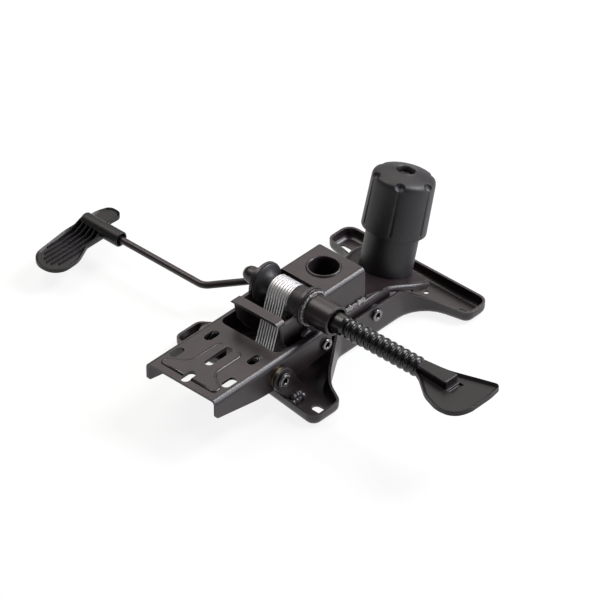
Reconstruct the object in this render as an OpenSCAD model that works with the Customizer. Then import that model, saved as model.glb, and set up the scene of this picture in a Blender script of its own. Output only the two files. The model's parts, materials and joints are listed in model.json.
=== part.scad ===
// Synchro tilt mechanism of an office chair, lying on its seat face.
// Millimetres. Origin: centre of the four seat slots on the seat face.
// +X lock handle side, +Y front of the chair, +Z away from the seat.

/* [Seat pan] */
// Thickness of the pressed pan sheet
pan_sheet = 2.5; // [1.5:0.1:3]
// Gap between the cradle and the waist walls of the pan
pan_gap = 2.5; // [2:0.1:3]
// Half width of the pan across the arm tips
pan_reach = 90; // [87:0.5:96]
// Front edge of the pan
pan_front = 122; // [119:0.5:128]
// Rear edge of the pan behind the rear arms
pan_rear = 123; // [121:0.5:130]
// Outer radius of the pressed bend round the floor
pan_bend = 8; // [5:0.5:8.5]
// Height of the waist walls
pan_wall = 36; // [34:0.5:37.5]
// Height of the rim at the arm tips
pan_rim = 13; // [10:0.5:15]
// Extra height of the rim in the middle of the front edge
pan_front_rise = 6; // [0:0.5:8]
// Sideways spacing of the seat slots
seat_x = 150; // [146:1:152]
// Lengthwise spacing of the seat slots
seat_y = 200; // [196:1:203]
// Width of a seat slot
seat_slot_w = 9; // [6:0.5:10]
// Length of a seat slot
seat_slot_l = 16; // [12:0.5:18]

/* [Housing] */
// Thickness of the housing sheet
box_sheet = 3; // [2:0.1:3.2]
// Half width of the housing box
box_half = 30; // [28:0.5:33]
// Height of the box top over the seat face
box_top = 80; // [79:0.5:82]
// Outer bend radius along the box edges
box_bend = 5; // [4:0.5:7]
// Front edge of the box
box_front = 11.5; // [9:0.5:13]
// Rear end of the box
box_rear = 107.5; // [106:0.5:108]
// Front edge of the window over the clamp
window_front = 41; // [40:0.5:41.5]
// Rear edge of the window over the clamp
window_rear = 97.5; // [96:0.5:99]
// Radius of the ears round the clamp bolt
ear_r = 20; // [18.5:0.5:20]
// Thickness of the cradle sheet
cradle_sheet = 3; // [2.5:0.1:3.1]
// Height of the cradle shoulder
cradle_top = 44; // [42:0.5:45]
// Half width of the tongue at its front end
tongue_half = 43; // [40:0.5:45]
// Front end of the tongue from the spring axis
tongue_front = 19; // [16:0.5:20]

/* [Gas lift socket] */
// Fore and aft place of the gas lift axis
socket_y = -12.5; // [-13.5:0.5:-11.5]
// Radius of the taper at its mouth
socket_mouth = 14.2; // [13:0.1:15]
// Outer radius of the socket tube
socket_outer = 17; // [16.2:0.1:17.5]
// Lower end of the socket tube
socket_foot = 38; // [37:0.5:45]
// Taper of the bore, diameter over length
socket_taper = 0.05; // [0.03:0.005:0.07]

/* [Pivots] */
// Front pivot, fore and aft
front_y = 18.5; // [18.5:0.1:20]
// Front pivot, height
front_z = 27; // [26.5:0.1:27.5]
// Rear pivot, fore and aft
rear_y = -58; // [-58.5:0.1:-57.8]
// Rear pivot, height
rear_z = 38.5; // [38:0.1:39]
// Link pivot, fore and aft
link_y = -121.5; // [-122.5:0.1:-121]
// Link pivot, height
link_z = 36; // [35.5:0.1:36.5]
// Radius of the front and rear pivot pins
pivot_r = 5; // [4:0.1:5.4]
// Radius of the link pins
link_r = 4.5; // [3.5:0.1:4.8]
// Running clearance of the pivots
run = 0.06; // [0.03:0.01:0.1]
// Travel left free in the link holes
link_play = 1.0; // [0.8:0.1:1.4]

/* [Back bracket] */
// Thickness of the bracket sheet
back_sheet = 3; // [2.4:0.1:3.1]
// Gap between the housing box and the bracket walls
back_gap = 11; // [10.8:0.1:12]
// Height of the bracket plate over the seat face
back_top = 55; // [54:0.5:56]
// Bend radius along the bracket edges
back_bend = 6; // [4:0.5:8]
// Rear end of the bracket
back_end = 204.5; // [204:0.5:215]
// Front edge of the bracket plate
back_notch = 115; // [114.5:0.5:118]
// Gap between the housing box and the sides of the notch
notch_gap = 7; // [6.5:0.1:8]
// Width of the bracket slots
back_slot_w = 9; // [7:0.5:10]
// Length of the bracket slots
back_slot_l = 17; // [13:0.5:18]
// Length of the middle slot
back_slot_long = 35; // [28:0.5:38]

/* [Clamp] */
// Clamp bolt, fore and aft
clamp_y = -62.5; // [-63:0.1:-62]
// Clamp bolt, height
clamp_z = 76; // [75.5:0.1:76.5]
// Radius of the clamp bolt
clamp_r = 5; // [4.5:0.1:5.1]
// Number of sliding plates
plate_n = 8; // [6:1:8]
// Spacing of the sliding plates
plate_pitch = 3; // [2.9:0.02:3.06]
// Thickness of the sliding plates and fixed discs
plate_t = 1.4; // [1:0.05:1.4]
// Radius of the sliding plates round the clamp bolt
plate_r = 14.8; // [13:0.1:15]
// Radius of the fixed discs
disc_r = 14; // [12:0.1:15]
// Outer radius of the clamp sleeve
sleeve_r = 15; // [14:0.1:16]
// Outer end of the clamp sleeve
sleeve_end = 62; // [58:0.5:66]
// Radius of the collars beside the stack
collar_r = 15; // [12:0.1:15.5]

/* [Lock handle] */
// Radius of the handle nose
nose_r = 10; // [9:0.1:11]
// Outer end of the handle nose
nose_end = 76; // [73:0.5:80]
// Outer end of the ribbed grip
grip_end = 172; // [169:0.5:173]
// Number of ribs on the grip
rib_n = 11; // [8:1:13]
// Outer radius of the ribs
rib_r = 9.8; // [8.8:0.1:10.5]
// Outer end of the paddle
lock_end = 239; // [234:0.5:250]
// Half width of the paddle at its end
lock_half = 30; // [26:0.5:33]

/* [Gas lever] */
// Radius of the lever rod
rod_r = 3.5; // [2.8:0.1:3.6]
// Height of the lever rod
rod_z = 30; // [29.5:0.1:30.2]
// Outer run of the rod, fore and aft
rod_out_y = -61.5; // [-64:0.5:-58]
// Inner run of the rod, fore and aft
rod_in_y = -18.5; // [-20:0.5:-17]
// Outer bend of the rod
rod_bend_out = -108.6; // [-113:0.5:-106]
// Inner bend of the rod
rod_bend_in = -75; // [-78:0.5:-72]
// Outer end of the lever paddle
paddle_end = -271; // [-280:0.5:-268]
// Width of the lever paddle at its big lobe
paddle_w = 42; // [38:0.5:46]

/* [Tension knob] */
// Foot of the spring axis, fore and aft
spring_y = 74; // [73:0.1:75]
// Foot of the spring axis, height
spring_z = 32.4; // [32:0.1:33]
// Forward lean of the spring axis
lean = 15.2; // [14.5:0.1:15.8]
// Height of the spring cup
cup_h = 60; // [52:0.5:62]
// Radius of the knob at its rim
knob_r = 31.6; // [30:0.1:34]
// Wall of the knob at its rim
knob_wall = 4.8; // [4.2:0.1:5.4]
// Gap between the knob and the spring cup
cup_gap = 1.2; // [1:0.1:1.6]
// Gap between the spring cup and the tension spring
coil_room = 2.35; // [1.5:0.05:3]
// Height of the knob rim over the tongue
knob_low = 41.5; // [38:0.5:46]
// Height of the knob top over the tongue
knob_high = 103; // [102:0.5:106]
// Radius of the hole in the knob top
knob_hole = 9.2; // [7:0.1:10.5]
// Number of grip grooves round the knob
groove_n = 6; // [5:1:9]
// Wire radius of the tension spring
wire_r = 2.75; // [2:0.05:3.2]
// Number of curls of the tension spring
coil_n = 6; // [4:0.5:7]

/* [Hidden] */
$fn = 64;
hair = 0.02;
box_in = box_half - box_sheet;
cradle_out = box_half + cradle_sheet;
pan_in = cradle_out + pan_gap;
pan_waist = pan_in + pan_sheet;
back_in = box_half + back_gap;
back_half = back_in + back_sheet;
notch_half = box_half + notch_gap;
back_nose = 8.5;
tongue_sheet = 3;
cross = 100;
ear_in = back_half + 3.3;
ear_out = ear_in + 3;
pivot_ear_r = 12;
stack_half = plate_n * plate_pitch / 2;
slide_angle = atan2(clamp_z - front_z, clamp_y - front_y);
slide_sweep = 10;
slide_r = norm([front_y - clamp_y, clamp_z - front_z]);
saucer_r = ear_r - 0.4;
saucer_hub = clamp_r + 4.5;
stud_y = -72.5;
stud_z = 53;
stud_r = 2.9;
anchor_y = -88;
anchor_z = 16;
anchor_r = 4;
bolt_r = 5;
bolt_eye = -20;
bolt_top = 98;
washer_at = 80;
cup_wall = 2.5;
knob_in = knob_r - knob_wall;
cup_r = knob_in - cup_gap;
coil_r = cup_r - cup_wall - coil_room - wire_r;
washer_r = coil_r + wire_r + 0.75;
insert_r = 14;
knob_crown = 11;
grip_pitch = (grip_end - nose_end) / rib_n;
coil_low = cup_wall + wire_r;
coil_high = washer_at - wire_r;
jig_x = 28;
jig_y = 101;
jig_r = 2.8;
ear_foot_y = -103;
ear_foot_z = 11.5;
stud_wire = 0.6;
stud_low = box_half + 0.9;
stud_high = box_half + 4.3;
stud_turns = 2;

steel_black = [0.16, 0.16, 0.17];
plastic_black = [0.09, 0.09, 0.1];
zinc = [0.78, 0.79, 0.8];
yellow_zinc = [0.72, 0.63, 0.36];

// Middle line of a wire wound along an upright helix
function helix_line(r, low, high, turns, steps) =
    let (n = steps * turns)
    [for (i = [0:n]) [r * cos(360 / steps * i), r * sin(360 / steps * i), low + (high - low) * i / n]];

// Least free space between the curls of a wound wire
function least_gap(line, wire, apart) =
    min([for (i = [0:len(line) - 1]) for (j = [i + apart:1:len(line) - 1]) norm(line[i] - line[j])])
    - 2 * wire;

echo(coil_gap = least_gap(helix_line(coil_r, coil_low, coil_high, coil_n, 24), wire_r, 12));
echo(stud_gap = least_gap(helix_line(stud_r + 1.2, stud_low, stud_high, stud_turns, 24), stud_wire, 12));

// Corner of a path rounded to an arc, as points
function corner(a, b, c, r, n) =
    let (
        u = (a - b) / norm(a - b),
        v = (c - b) / norm(c - b),
        half = acos(u * v) / 2,
        t = r / tan(half),
        p = b + u * t,
        q = b + v * t,
        m = b + (u + v) / norm(u + v) * r / sin(half),
        a0 = atan2(p[1] - m[1], p[0] - m[0]),
        a1 = atan2(q[1] - m[1], q[0] - m[0]),
        d = a1 - a0,
        turn = d > 180 ? d - 360 : d < -180 ? d + 360 : d
    )
    [for (i = [0:n]) m + r * [cos(a0 + turn * i / n), sin(a0 + turn * i / n)]];

// Closed path with every corner rounded
function rounded(pts, radii, n) =
    let (k = len(pts))
    [for (i = [0:k - 1])
        for (p = corner(pts[(i + k - 1) % k], pts[i], pts[(i + 1) % k], radii[i], n)) p];

// Closed path moved to its left by a distance, corner by corner
function moved(pts, d) =
    let (k = len(pts))
    [for (i = [0:k - 1])
        let (
            e = pts[i] - pts[(i + k - 1) % k],
            f = pts[(i + 1) % k] - pts[i],
            u = [-e[1], e[0]] / norm(e),
            v = [-f[1], f[0]] / norm(f),
            w = u + v
        )
        pts[i] + w * 2 * d / (w * w)];

// Right half of a path and its mirror image as one closed path
function mirrored(pts) =
    concat(pts, [for (i = [len(pts) - 1:-1:0]) [-pts[i][0], pts[i][1]]]);

function blend(t) = t <= 0 ? 0 : t >= 1 ? 1 : t * t * (3 - 2 * t);

function arc(m, r, from, turn, n) =
    [for (i = [0:n]) m + r * [cos(from + turn * i / n), sin(from + turn * i / n)]];

// Slot of even width along an arc, with round ends
function arc_slot(m, r, from, turn, half, n) =
    let (
        start = m + r * [cos(from), sin(from)],
        end = m + r * [cos(from + turn), sin(from + turn)]
    )
    concat(
        arc(m, r + half, from, turn, n),
        [for (i = [1:n - 1])
            let (a = from + turn + 180 * i / n) end + half * [cos(a), sin(a)]],
        arc(m, r - half, from + turn, -turn, n),
        [for (i = [1:n - 1])
            let (a = from + 180 + 180 * i / n) start + half * [cos(a), sin(a)]]
    );

// Path round two circles of different size
function band(a, ra, b, rb, n) =
    let (
        d = norm(b - a),
        w = atan2(b[1] - a[1], b[0] - a[0]),
        s = acos((ra - rb) / d)
    )
    concat(arc(a, ra, w + s, 360 - 2 * s, n), arc(b, rb, w - s, 2 * s, n));

// Sets a flat shape drawn fore and aft against height upright, from x0 to x1
module upright(x0, x1) {
    translate([x0, 0, 0])
        rotate([90, 0, 90])
            linear_extrude(x1 - x0)
                children();
}

// Round bar across the chair
module across(x0, x1, y, z, r) {
    translate([x0, y, z])
        rotate([0, 90, 0])
            cylinder(h = x1 - x0, r = r);
}

// Ring across the chair
module tube(x0, x1, y, z, r, bore) {
    difference() {
        across(x0, x1, y, z, r);
        across(x0 - 1, x1 + 1, y, z, bore);
    }
}

module both_sides() {
    children();
    mirror([1, 0, 0])
        children();
}

// Upright slot cutter, long side fore and aft or sideways
module slot(x, y, z0, z1, length, width, sideways) {
    run = (length - width) / 2;
    dx = sideways ? run : 0;
    dy = sideways ? 0 : run;
    for (s = [-1, 1])
        translate([x + s * dx, y + s * dy, z0])
            cylinder(h = z1 - z0, r = width / 2);
    translate([x - (sideways ? run : width / 2), y - (sideways ? width / 2 : run), z0])
        cube([sideways ? 2 * run : width, sideways ? width : 2 * run, z1 - z0]);
}

// Puts a shape on the leaning spring axis, its zero on the tongue
module on_spring_axis() {
    translate([0, spring_y, spring_z])
        rotate([-lean, 0, 0])
            children();
}

// Outline of the seat pan, counter-clockwise seen from above
pan_right = [
    [24, -pan_rear + 6.5],
    [pan_reach, -pan_rear - 1.5],
    [pan_reach, -seat_y / 2 + 13],
    [66, -76],
    [pan_waist, -33],
    [pan_waist, 79],
    [pan_reach, seat_y / 2 - 10],
    [pan_reach, pan_front]
];
pan_right_r = [40, 10, 10, 30, 22, 34, 10, 12];
pan_path = rounded(mirrored(pan_right), mirrored_r(pan_right_r), 6);
function mirrored_r(r) = concat(r, [for (i = [len(r) - 1:-1:0]) r[i]]);

// Height of the rim round the pan
function rim_height(p) =
    let (
        drop = p[1] < 0 ? blend((-p[1] - 50) / 36) : blend((p[1] - 43) / 50),
        rise = pan_front_rise * blend((p[1] - 100) / 16) * (1 - blend((abs(p[0]) - 18) / 62))
    )
    pan_wall - (pan_wall - pan_rim) * drop + rise;

// Triangles of the flat floor, from its edge to the middle line of the pan
function floor_faces(edge, mid, spine, k) =
    let (h = k / 2)
    concat(
        [[edge + k - 1, edge, mid]],
        [for (i = [0:h - 2]) [edge + i, edge + i + 1, mid + i]],
        [for (i = [0:h - 2]) if (spine[i + 1] > spine[i]) [edge + i + 1, mid + i + 1, mid + i]],
        [for (i = [0:h - 2]) [edge + k - 2 - i, edge + k - 1 - i, mid + i]],
        [for (i = [0:h - 2]) if (spine[i + 1] > spine[i]) [edge + k - 2 - i, mid + i, mid + i + 1]],
        [[edge + h - 1, edge + h, mid + h - 1]]
    );

// Pressed shell: flat floor, round bend, wall that rises and falls along the chair
module pan_shell() {
    k = len(pan_path);
    normals = [for (i = [0:k - 1])
        let (d = pan_path[(i + 1) % k] - pan_path[(i + k - 1) % k])
        [-d[1], d[0]] / norm(d)];
    bends = 4;
    inner = pan_bend - pan_sheet;
    out_ring = [for (j = [0:bends])
        [pan_bend - pan_bend * sin(90 * j / bends), pan_bend - pan_bend * cos(90 * j / bends)]];
    in_ring = [for (j = [bends:-1:0])
        [pan_bend - inner * sin(90 * j / bends), pan_bend - inner * cos(90 * j / bends)]];
    rings = concat(out_ring, [[0, -1], [pan_sheet, -1]], in_ring);
    m = len(rings);
    points = [for (r = rings)
        for (i = [0:k - 1])
            let (p = pan_path[i] + normals[i] * r[0])
            [p[0], p[1], r[1] < 0 ? rim_height(pan_path[i]) : r[1]]];
    sides = [for (j = [0:m - 2])
        for (i = [0:k - 1])
            for (f = [
                [j * k + i, (j + 1) * k + i, j * k + (i + 1) % k],
                [j * k + (i + 1) % k, (j + 1) * k + i, (j + 1) * k + (i + 1) % k]
            ]) f];
    half = k / 2;
    spine = [for (i = [0:half - 1]) max(-80, min(98, points[i][1]))];
    low = k * m;
    high = low + half;
    spine_points = [for (z = [0, pan_sheet]) for (y = spine) [0, y, z]];
    floor_low = floor_faces(0, low, spine, k);
    floor_high = [for (f = floor_faces((m - 1) * k, high, spine, k)) [f[2], f[1], f[0]]];
    polyhedron(concat(points, spine_points), concat(sides, floor_low, floor_high));
}

module seat_pan() {
    color(steel_black)
        difference() {
            pan_shell();
            for (sx = [-1, 1]) {
                for (sy = [-1, 1])
                    slot(sx * seat_x / 2, sy * seat_y / 2, -1, 8, seat_slot_l, seat_slot_w, true);
                translate([sx * jig_x, jig_y, -1])
                    cylinder(h = pan_sheet + 2, r = jig_r);
            }
            across(-cross, cross, front_y, front_z, pivot_r + 1.5);
            lever_notch();
        }
}

// Open notch in the left waist wall for the gas lever
module lever_notch() {
    translate([-pan_waist - 12, rod_in_y - 8, 20])
        cube([20, 16, 40]);
    across(-pan_waist - 12, -pan_waist + 8, rod_in_y, 20, 8);
}

module pan_bushes() {
    color(plastic_black)
        both_sides() {
            tube(pan_in, pan_waist, front_y, front_z, pivot_r + 1.5 - hair, pivot_r + run);
            tube(cradle_out + 0.3, pan_in, front_y, front_z, pivot_r + 4, pivot_r + run);
        }
}

module pivot_ears() {
    color(steel_black)
        both_sides()
            difference() {
                upright(ear_in, ear_out)
                    polygon(band([link_y, link_z], pivot_ear_r,
                        [ear_foot_y, ear_foot_z], ear_foot_z - pan_sheet, 20));
                across(ear_in - 1, ear_out + 1, link_y, link_z, link_r + hair);
            }
}

// Fillet bead between each ear and the pan floor
module ear_welds() {
    color(steel_black)
        both_sides()
            for (i = [-1:1])
                translate([ear_out + 1.2, ear_foot_y + 4.5 * i, pan_sheet + 1.8])
                    scale([2, 3.2, 2.6])
                        sphere(r = 1, $fn = 14);
}

module link_pins() {
    color(zinc)
        both_sides()
            difference() {
                union() {
                    across(back_in - 2, ear_out + 2, link_y, link_z, link_r);
                    across(ear_out, ear_out + 2.4, link_y, link_z, link_r + 3.5);
                    across(back_in - 2.3, back_in - 0.4, link_y, link_z, link_r + 2.5);
                }
                across(ear_out - 2, ear_out + 3, link_y, link_z, 2.6);
            }
}

module link_washers() {
    color(yellow_zinc)
        both_sides()
            tube(back_half + 0.35, ear_in, link_y, link_z, link_r + 6, link_r + hair);
}

// Sliding plate: anchored on the pan, slotted along the swing about the front pivot
module plate_face() {
    spare = 0.4;
    difference() {
        polygon(band([clamp_y, clamp_z], plate_r, [anchor_y, anchor_z], 10, 24));
        polygon(arc_slot([front_y, front_z], slide_r, slide_angle - spare, slide_sweep + spare,
            clamp_r + 0.5, 12));
        translate([anchor_y, anchor_z])
            circle(r = anchor_r + hair);
    }
}

module clamp_plates() {
    color(zinc)
        for (i = [0:plate_n - 1]) {
            x = -stack_half + i * plate_pitch + 0.05;
            upright(x, x + plate_t)
                plate_face();
        }
}

module fixed_discs() {
    color(zinc)
        for (i = [0:plate_n - 1]) {
            x = -stack_half + (i + 0.5) * plate_pitch + 0.05;
            tube(x, x + plate_t, clamp_y, clamp_z, disc_r, clamp_r + hair);
        }
}

module plate_lugs() {
    color(steel_black)
        difference() {
            union() {
                for (x = [-stack_half - 3.4, stack_half + 0.4])
                    upright(x, x + 3)
                        polygon(rounded([
                            [anchor_y - 13, pan_sheet],
                            [anchor_y + 13, pan_sheet],
                            [anchor_y + 8, anchor_z + 8],
                            [anchor_y - 8, anchor_z + 8]
                        ], [0.5, 0.5, 6, 6], 8));
                translate([-stack_half - 3.4, anchor_y - 13, pan_sheet])
                    cube([2 * stack_half + 6.8, 26, 2]);
            }
            across(-cross, cross, anchor_y, anchor_z, anchor_r + hair);
        }
}

module plate_pin() {
    color(zinc) {
        across(-stack_half - 5, stack_half + 5, anchor_y, anchor_z, anchor_r);
        across(-stack_half - 6.5, -stack_half - 3.4, anchor_y, anchor_z, anchor_r + 2);
        across(stack_half + 3.4, stack_half + 6.5, anchor_y, anchor_z, anchor_r + 2);
    }
}

// Anchor of the tension bolt on the pan floor
eye_y = spring_y + bolt_eye * sin(lean);
eye_z = spring_z + bolt_eye * cos(lean);

module bolt_lugs() {
    color(steel_black)
        difference() {
            union() {
                for (x = [-10.2, 7.2])
                    upright(x, x + 3)
                        polygon(rounded([
                            [eye_y - 13, pan_sheet],
                            [eye_y + 13, pan_sheet],
                            [eye_y + 7, eye_z + 7],
                            [eye_y - 7, eye_z + 7]
                        ], [0.5, 0.5, 5, 5], 8));
                translate([-20, eye_y - 13, pan_sheet])
                    cube([40, 26, 1.2]);
            }
            across(-cross, cross, eye_y, eye_z, 4 + hair);
        }
}

module bolt_pin() {
    color(zinc) {
        across(-12, 12, eye_y, eye_z, 4);
        across(-13.4, -10.2, eye_y, eye_z, 5.6);
        across(10.2, 13.4, eye_y, eye_z, 5.6);
    }
}

// Side view of the box: what is left of its walls
box_side = [
    [box_front, box_top + 20],
    [-box_rear + 4.5, box_top + 20],
    [-box_rear + 4.5, box_top - 3],
    [-box_rear + 8.5, 54],
    [-84, 34],
    [rear_y - 10, 26],
    [rear_y + 10, 26],
    [-34, 21],
    [box_front, 21]
];

module box_section() {
    outer = [[-box_half, 0], [-box_half, box_top], [box_half, box_top], [box_half, 0]];
    under = box_top - box_sheet;
    inner = [[-box_in, -1], [-box_in, under], [box_in, under], [box_in, -1]];
    difference() {
        polygon(rounded(outer, [0.2, box_bend, box_bend, 0.2], 8));
        polygon(rounded(inner, [0.2, box_bend - box_sheet + 0.2, box_bend - box_sheet + 0.2, 0.2], 8));
    }
}

module box_blank() {
    intersection() {
        translate([0, box_front, 0])
            rotate([90, 0, 0])
                linear_extrude(box_front + box_rear)
                    box_section();
        union() {
            upright(-cross, cross)
                polygon(box_side);
            translate([-cross, -box_rear, box_top - box_sheet])
                cube([2 * cross, 20, 20]);
        }
    }
}

// Wall ear round the clamp bolt
module clamp_ear() {
    upright(box_in, box_half)
        polygon(rounded([
            [clamp_y - ear_r, box_top - 30],
            [clamp_y + ear_r, box_top - 30],
            [clamp_y + ear_r, clamp_z + ear_r],
            [clamp_y - ear_r, clamp_z + ear_r]
        ], [1, 1, ear_r - 0.2, ear_r - 0.2], 14));
}

module housing_box() {
    color(steel_black)
        difference() {
            union() {
                difference() {
                    box_blank();
                    translate([-box_half - 1, -window_rear, box_top - box_bend])
                        cube([2 * box_half + 2, window_rear - window_front, 40]);
                }
                both_sides()
                    clamp_ear();
            }
            translate([0, socket_y, box_top - 10])
                cylinder(h = 20, r = socket_outer + hair);
            across(-cross, cross, rear_y, rear_z, pivot_r + hair);
            across(-cross, cross, clamp_y, clamp_z, clamp_r + hair);
            across(-cross, 0, rod_in_y, rod_z, rod_r + 3 + hair);
        }
}

// Outline of the tongue, set in by a distance
module tongue_face(d) {
    u0 = -(spring_y - box_front) / cos(lean) + tongue_sheet * tan(lean) + hair;
    right = [
        [box_half + 1, u0],
        [box_half + 1, -28],
        [tongue_half, 2],
        [tongue_half, tongue_front]
    ];
    polygon(rounded(
        moved(mirrored(right), d),
        [0.3, 25, 18 - d, 9 - d, 9 - d, 18 - d, 25, 0.3],
        7
    ));
}

module housing_cradle() {
    lip_from = 5;
    color(steel_black)
        difference() {
            union() {
                both_sides()
                    upright(box_half, cradle_out)
                        polygon(rounded([
                            [-34, 22],
                            [14, 15.5],
                            [32, 17],
                            [44, 32],
                            [42, cradle_top - 3.4],
                            [34, cradle_top],
                            [-34, cradle_top]
                        ], [5, 9, 9, 5, 2, 4, 5], 6));
                on_spring_axis() {
                    translate([0, 0, -tongue_sheet])
                        linear_extrude(tongue_sheet)
                            tongue_face(0);
                    translate([0, 0, -7])
                        linear_extrude(5)
                            difference() {
                                tongue_face(0);
                                tongue_face(2.6);
                                translate([-cross, -cross])
                                    square([2 * cross, cross - lip_from]);
                            }
                }
            }
            on_spring_axis()
                translate([0, 0, -10])
                    cylinder(h = 20, r = bolt_r + 1.5);
            across(-cross, cross, front_y, front_z, pivot_r + hair);
            across(-cross, 0, rod_in_y, rod_z, rod_r + 3 + hair);
        }
}

// Tube with the taper that takes the gas lift
module gas_socket() {
    depth = box_top + 0.6 - socket_foot;
    color(steel_black)
        translate([0, socket_y, socket_foot])
            difference() {
                cylinder(h = depth, r = socket_outer);
                translate([0, 0, -1])
                    cylinder(h = depth + 2, r1 = socket_mouth - (depth + 1) * socket_taper / 2,
                        r2 = socket_mouth + socket_taper / 2);
                translate([0, 0, depth - 1])
                    cylinder(h = 1.2, r1 = socket_mouth - 0.1, r2 = socket_mouth + 1.2);
            }
}

module front_axle() {
    color(zinc)
        difference() {
            union() {
                across(-pan_waist - 2, pan_waist + 2, front_y, front_z, pivot_r);
                for (s = [-1, 1])
                    across(s > 0 ? pan_waist + 0.4 : -pan_waist - 2.4,
                        s > 0 ? pan_waist + 2.4 : -pan_waist - 0.4, front_y, front_z, pivot_r + 1.2);
            }
            across(pan_waist - 3, pan_waist + 4, front_y, front_z, 2.8);
            across(-pan_waist - 4, -pan_waist + 3, front_y, front_z, 2.8);
        }
}

module rear_pins() {
    color(zinc)
        both_sides()
            difference() {
                union() {
                    across(box_in - 2, back_half + 2.2, rear_y, rear_z, pivot_r);
                    across(back_half + 0.4, back_half + 2.6, rear_y, rear_z, pivot_r + 1.2);
                    across(box_in - 2.2, box_in, rear_y, rear_z, pivot_r + 2.5);
                }
                across(back_half - 4, back_half + 4, rear_y, rear_z, 2.8);
            }
}

module rear_spacers() {
    color(plastic_black)
        both_sides()
            tube(box_half, back_in - 0.35, rear_y, rear_z, pivot_r + 4, pivot_r + hair);
}

module clamp_bolt() {
    color(zinc)
        across(-box_half - 20, 48, clamp_y, clamp_z, clamp_r);
}

// Cap nut over the left end of the clamp bolt
module clamp_nut() {
    color(steel_black)
        translate([-box_half - 6, clamp_y, clamp_z])
            rotate([0, -90, 0])
                rotate_extrude()
                    polygon([
                        [clamp_r + hair, 0],
                        [11, 0],
                        [11, 2],
                        [8.5, 2.6],
                        [8.2, 9],
                        [7.4, 12.5],
                        [5.4, 15.2],
                        [2.6, 16.4],
                        [0, 16.6],
                        [0, 14 + hair],
                        [clamp_r + hair, 14 + hair]
                    ]);
}

// Dished flange on the left ear under the cap nut
module clamp_flange() {
    color(steel_black)
        translate([-box_half, clamp_y, clamp_z])
            rotate([0, -90, 0])
                rotate_extrude()
                    polygon([
                        [clamp_r + hair, 0],
                        [ear_r - 0.8, 0],
                        [ear_r + 0.6, 1.4],
                        [ear_r + 0.6, 4.2],
                        [ear_r - 1, 6],
                        [clamp_r + hair, 6]
                    ]);
}

// Collars between the ears and the stack: a dished saucer on the left, a plain ring on the right
module clamp_collars() {
    face = box_in - 0.03;
    depth = face - stack_half - 0.1;
    color(plastic_black) {
        translate([-face, clamp_y, clamp_z])
            rotate([0, 90, 0])
                rotate_extrude()
                    polygon([
                        [clamp_r + hair, 0],
                        [saucer_r - 0.6, 0],
                        [saucer_r, 0.8],
                        [saucer_r - 0.3, 3.2],
                        [saucer_r - 1.5, 3.6],
                        [saucer_hub + 3.5, 1.6],
                        [saucer_hub, 2.6],
                        [saucer_hub, depth],
                        [clamp_r + hair, depth]
                    ]);
        tube(stack_half + 0.1, face, clamp_y, clamp_z, collar_r, clamp_r + hair);
    }
}

// Tube welded on the right ear that carries the lock handle
module clamp_sleeve() {
    color(steel_black)
        translate([box_half, clamp_y, clamp_z])
            rotate([0, 90, 0])
                rotate_extrude()
                    polygon([
                        [clamp_r + hair, 0],
                        [ear_r - 0.6, 0],
                        [ear_r - 0.8, 1.4],
                        [sleeve_r + 1.6, 2.2],
                        [sleeve_r, 4.4],
                        [sleeve_r, sleeve_end - box_half - 0.8],
                        [sleeve_r - 0.8, sleeve_end - box_half],
                        [12, sleeve_end - box_half],
                        [12, 5],
                        [clamp_r + hair, 5]
                    ]);
}

module spring_cup() {
    color(plastic_black)
        on_spring_axis()
            rotate_extrude()
                polygon([
                    [bolt_r + 1.5, 0],
                    [cup_r - 0.6, 0],
                    [cup_r, 0.8],
                    [cup_r, cup_h - 1],
                    [cup_r - 1, cup_h],
                    [cup_r - cup_wall, cup_h],
                    [cup_r - cup_wall, cup_wall],
                    [bolt_r + 1.5, cup_wall]
                ]);
}

// One unbroken wire along an upright helix
module helix_wire(r, wire, low, high, turns, steps) {
    rings = steps * turns;
    sides = 6;
    rise = (high - low) / rings;
    slope = atan((high - low) / turns / (2 * PI * r));
    points = [for (i = [0:rings])
        for (j = [0:sides - 1])
            let (
                a = 360 / steps * i,
                b = 360 * j / sides,
                out = r + wire * cos(b),
                up = wire * sin(b) * cos(slope),
                fore = -wire * sin(b) * sin(slope)
            )
            [
                out * cos(a) - fore * sin(a),
                out * sin(a) + fore * cos(a),
                low + rise * i + up
            ]];
    skin = [for (i = [0:rings - 1])
        for (j = [0:sides - 1])
            for (f = [
                [i * sides + j, (i + 1) * sides + j, i * sides + (j + 1) % sides],
                [i * sides + (j + 1) % sides, (i + 1) * sides + j, (i + 1) * sides + (j + 1) % sides]
            ]) f];
    start = [for (j = [0:sides - 1]) j];
    end = [for (j = [sides - 1:-1:0]) rings * sides + j];
    polyhedron(points, concat(skin, [start, end]));
}

module tension_spring() {
    color(zinc)
        on_spring_axis()
            helix_wire(coil_r, wire_r, coil_low, coil_high, coil_n, 8);
}

// Small return spring wound on its stud
module return_spring() {
    color(zinc)
        translate([0, stud_y, stud_z])
            rotate([0, 90, 0])
                helix_wire(stud_r + 1.2, stud_wire, stud_low, stud_high, stud_turns, 12);
}

// Stud on the right wall that carries the return spring
module spring_stud() {
    color(zinc) {
        across(box_half, box_half + 5.9, stud_y, stud_z, stud_r);
        across(box_half + 5.1, box_half + 5.9, stud_y, stud_z, stud_r + 1.4);
    }
}

module lever_bush() {
    color(plastic_black) {
        tube(-cradle_out, -box_in, rod_in_y, rod_z, rod_r + 3, rod_r + 0.7);
        tube(-cradle_out - 1.5, -cradle_out, rod_in_y, rod_z, rod_r + 4.5, rod_r + 0.7);
    }
}

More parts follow.
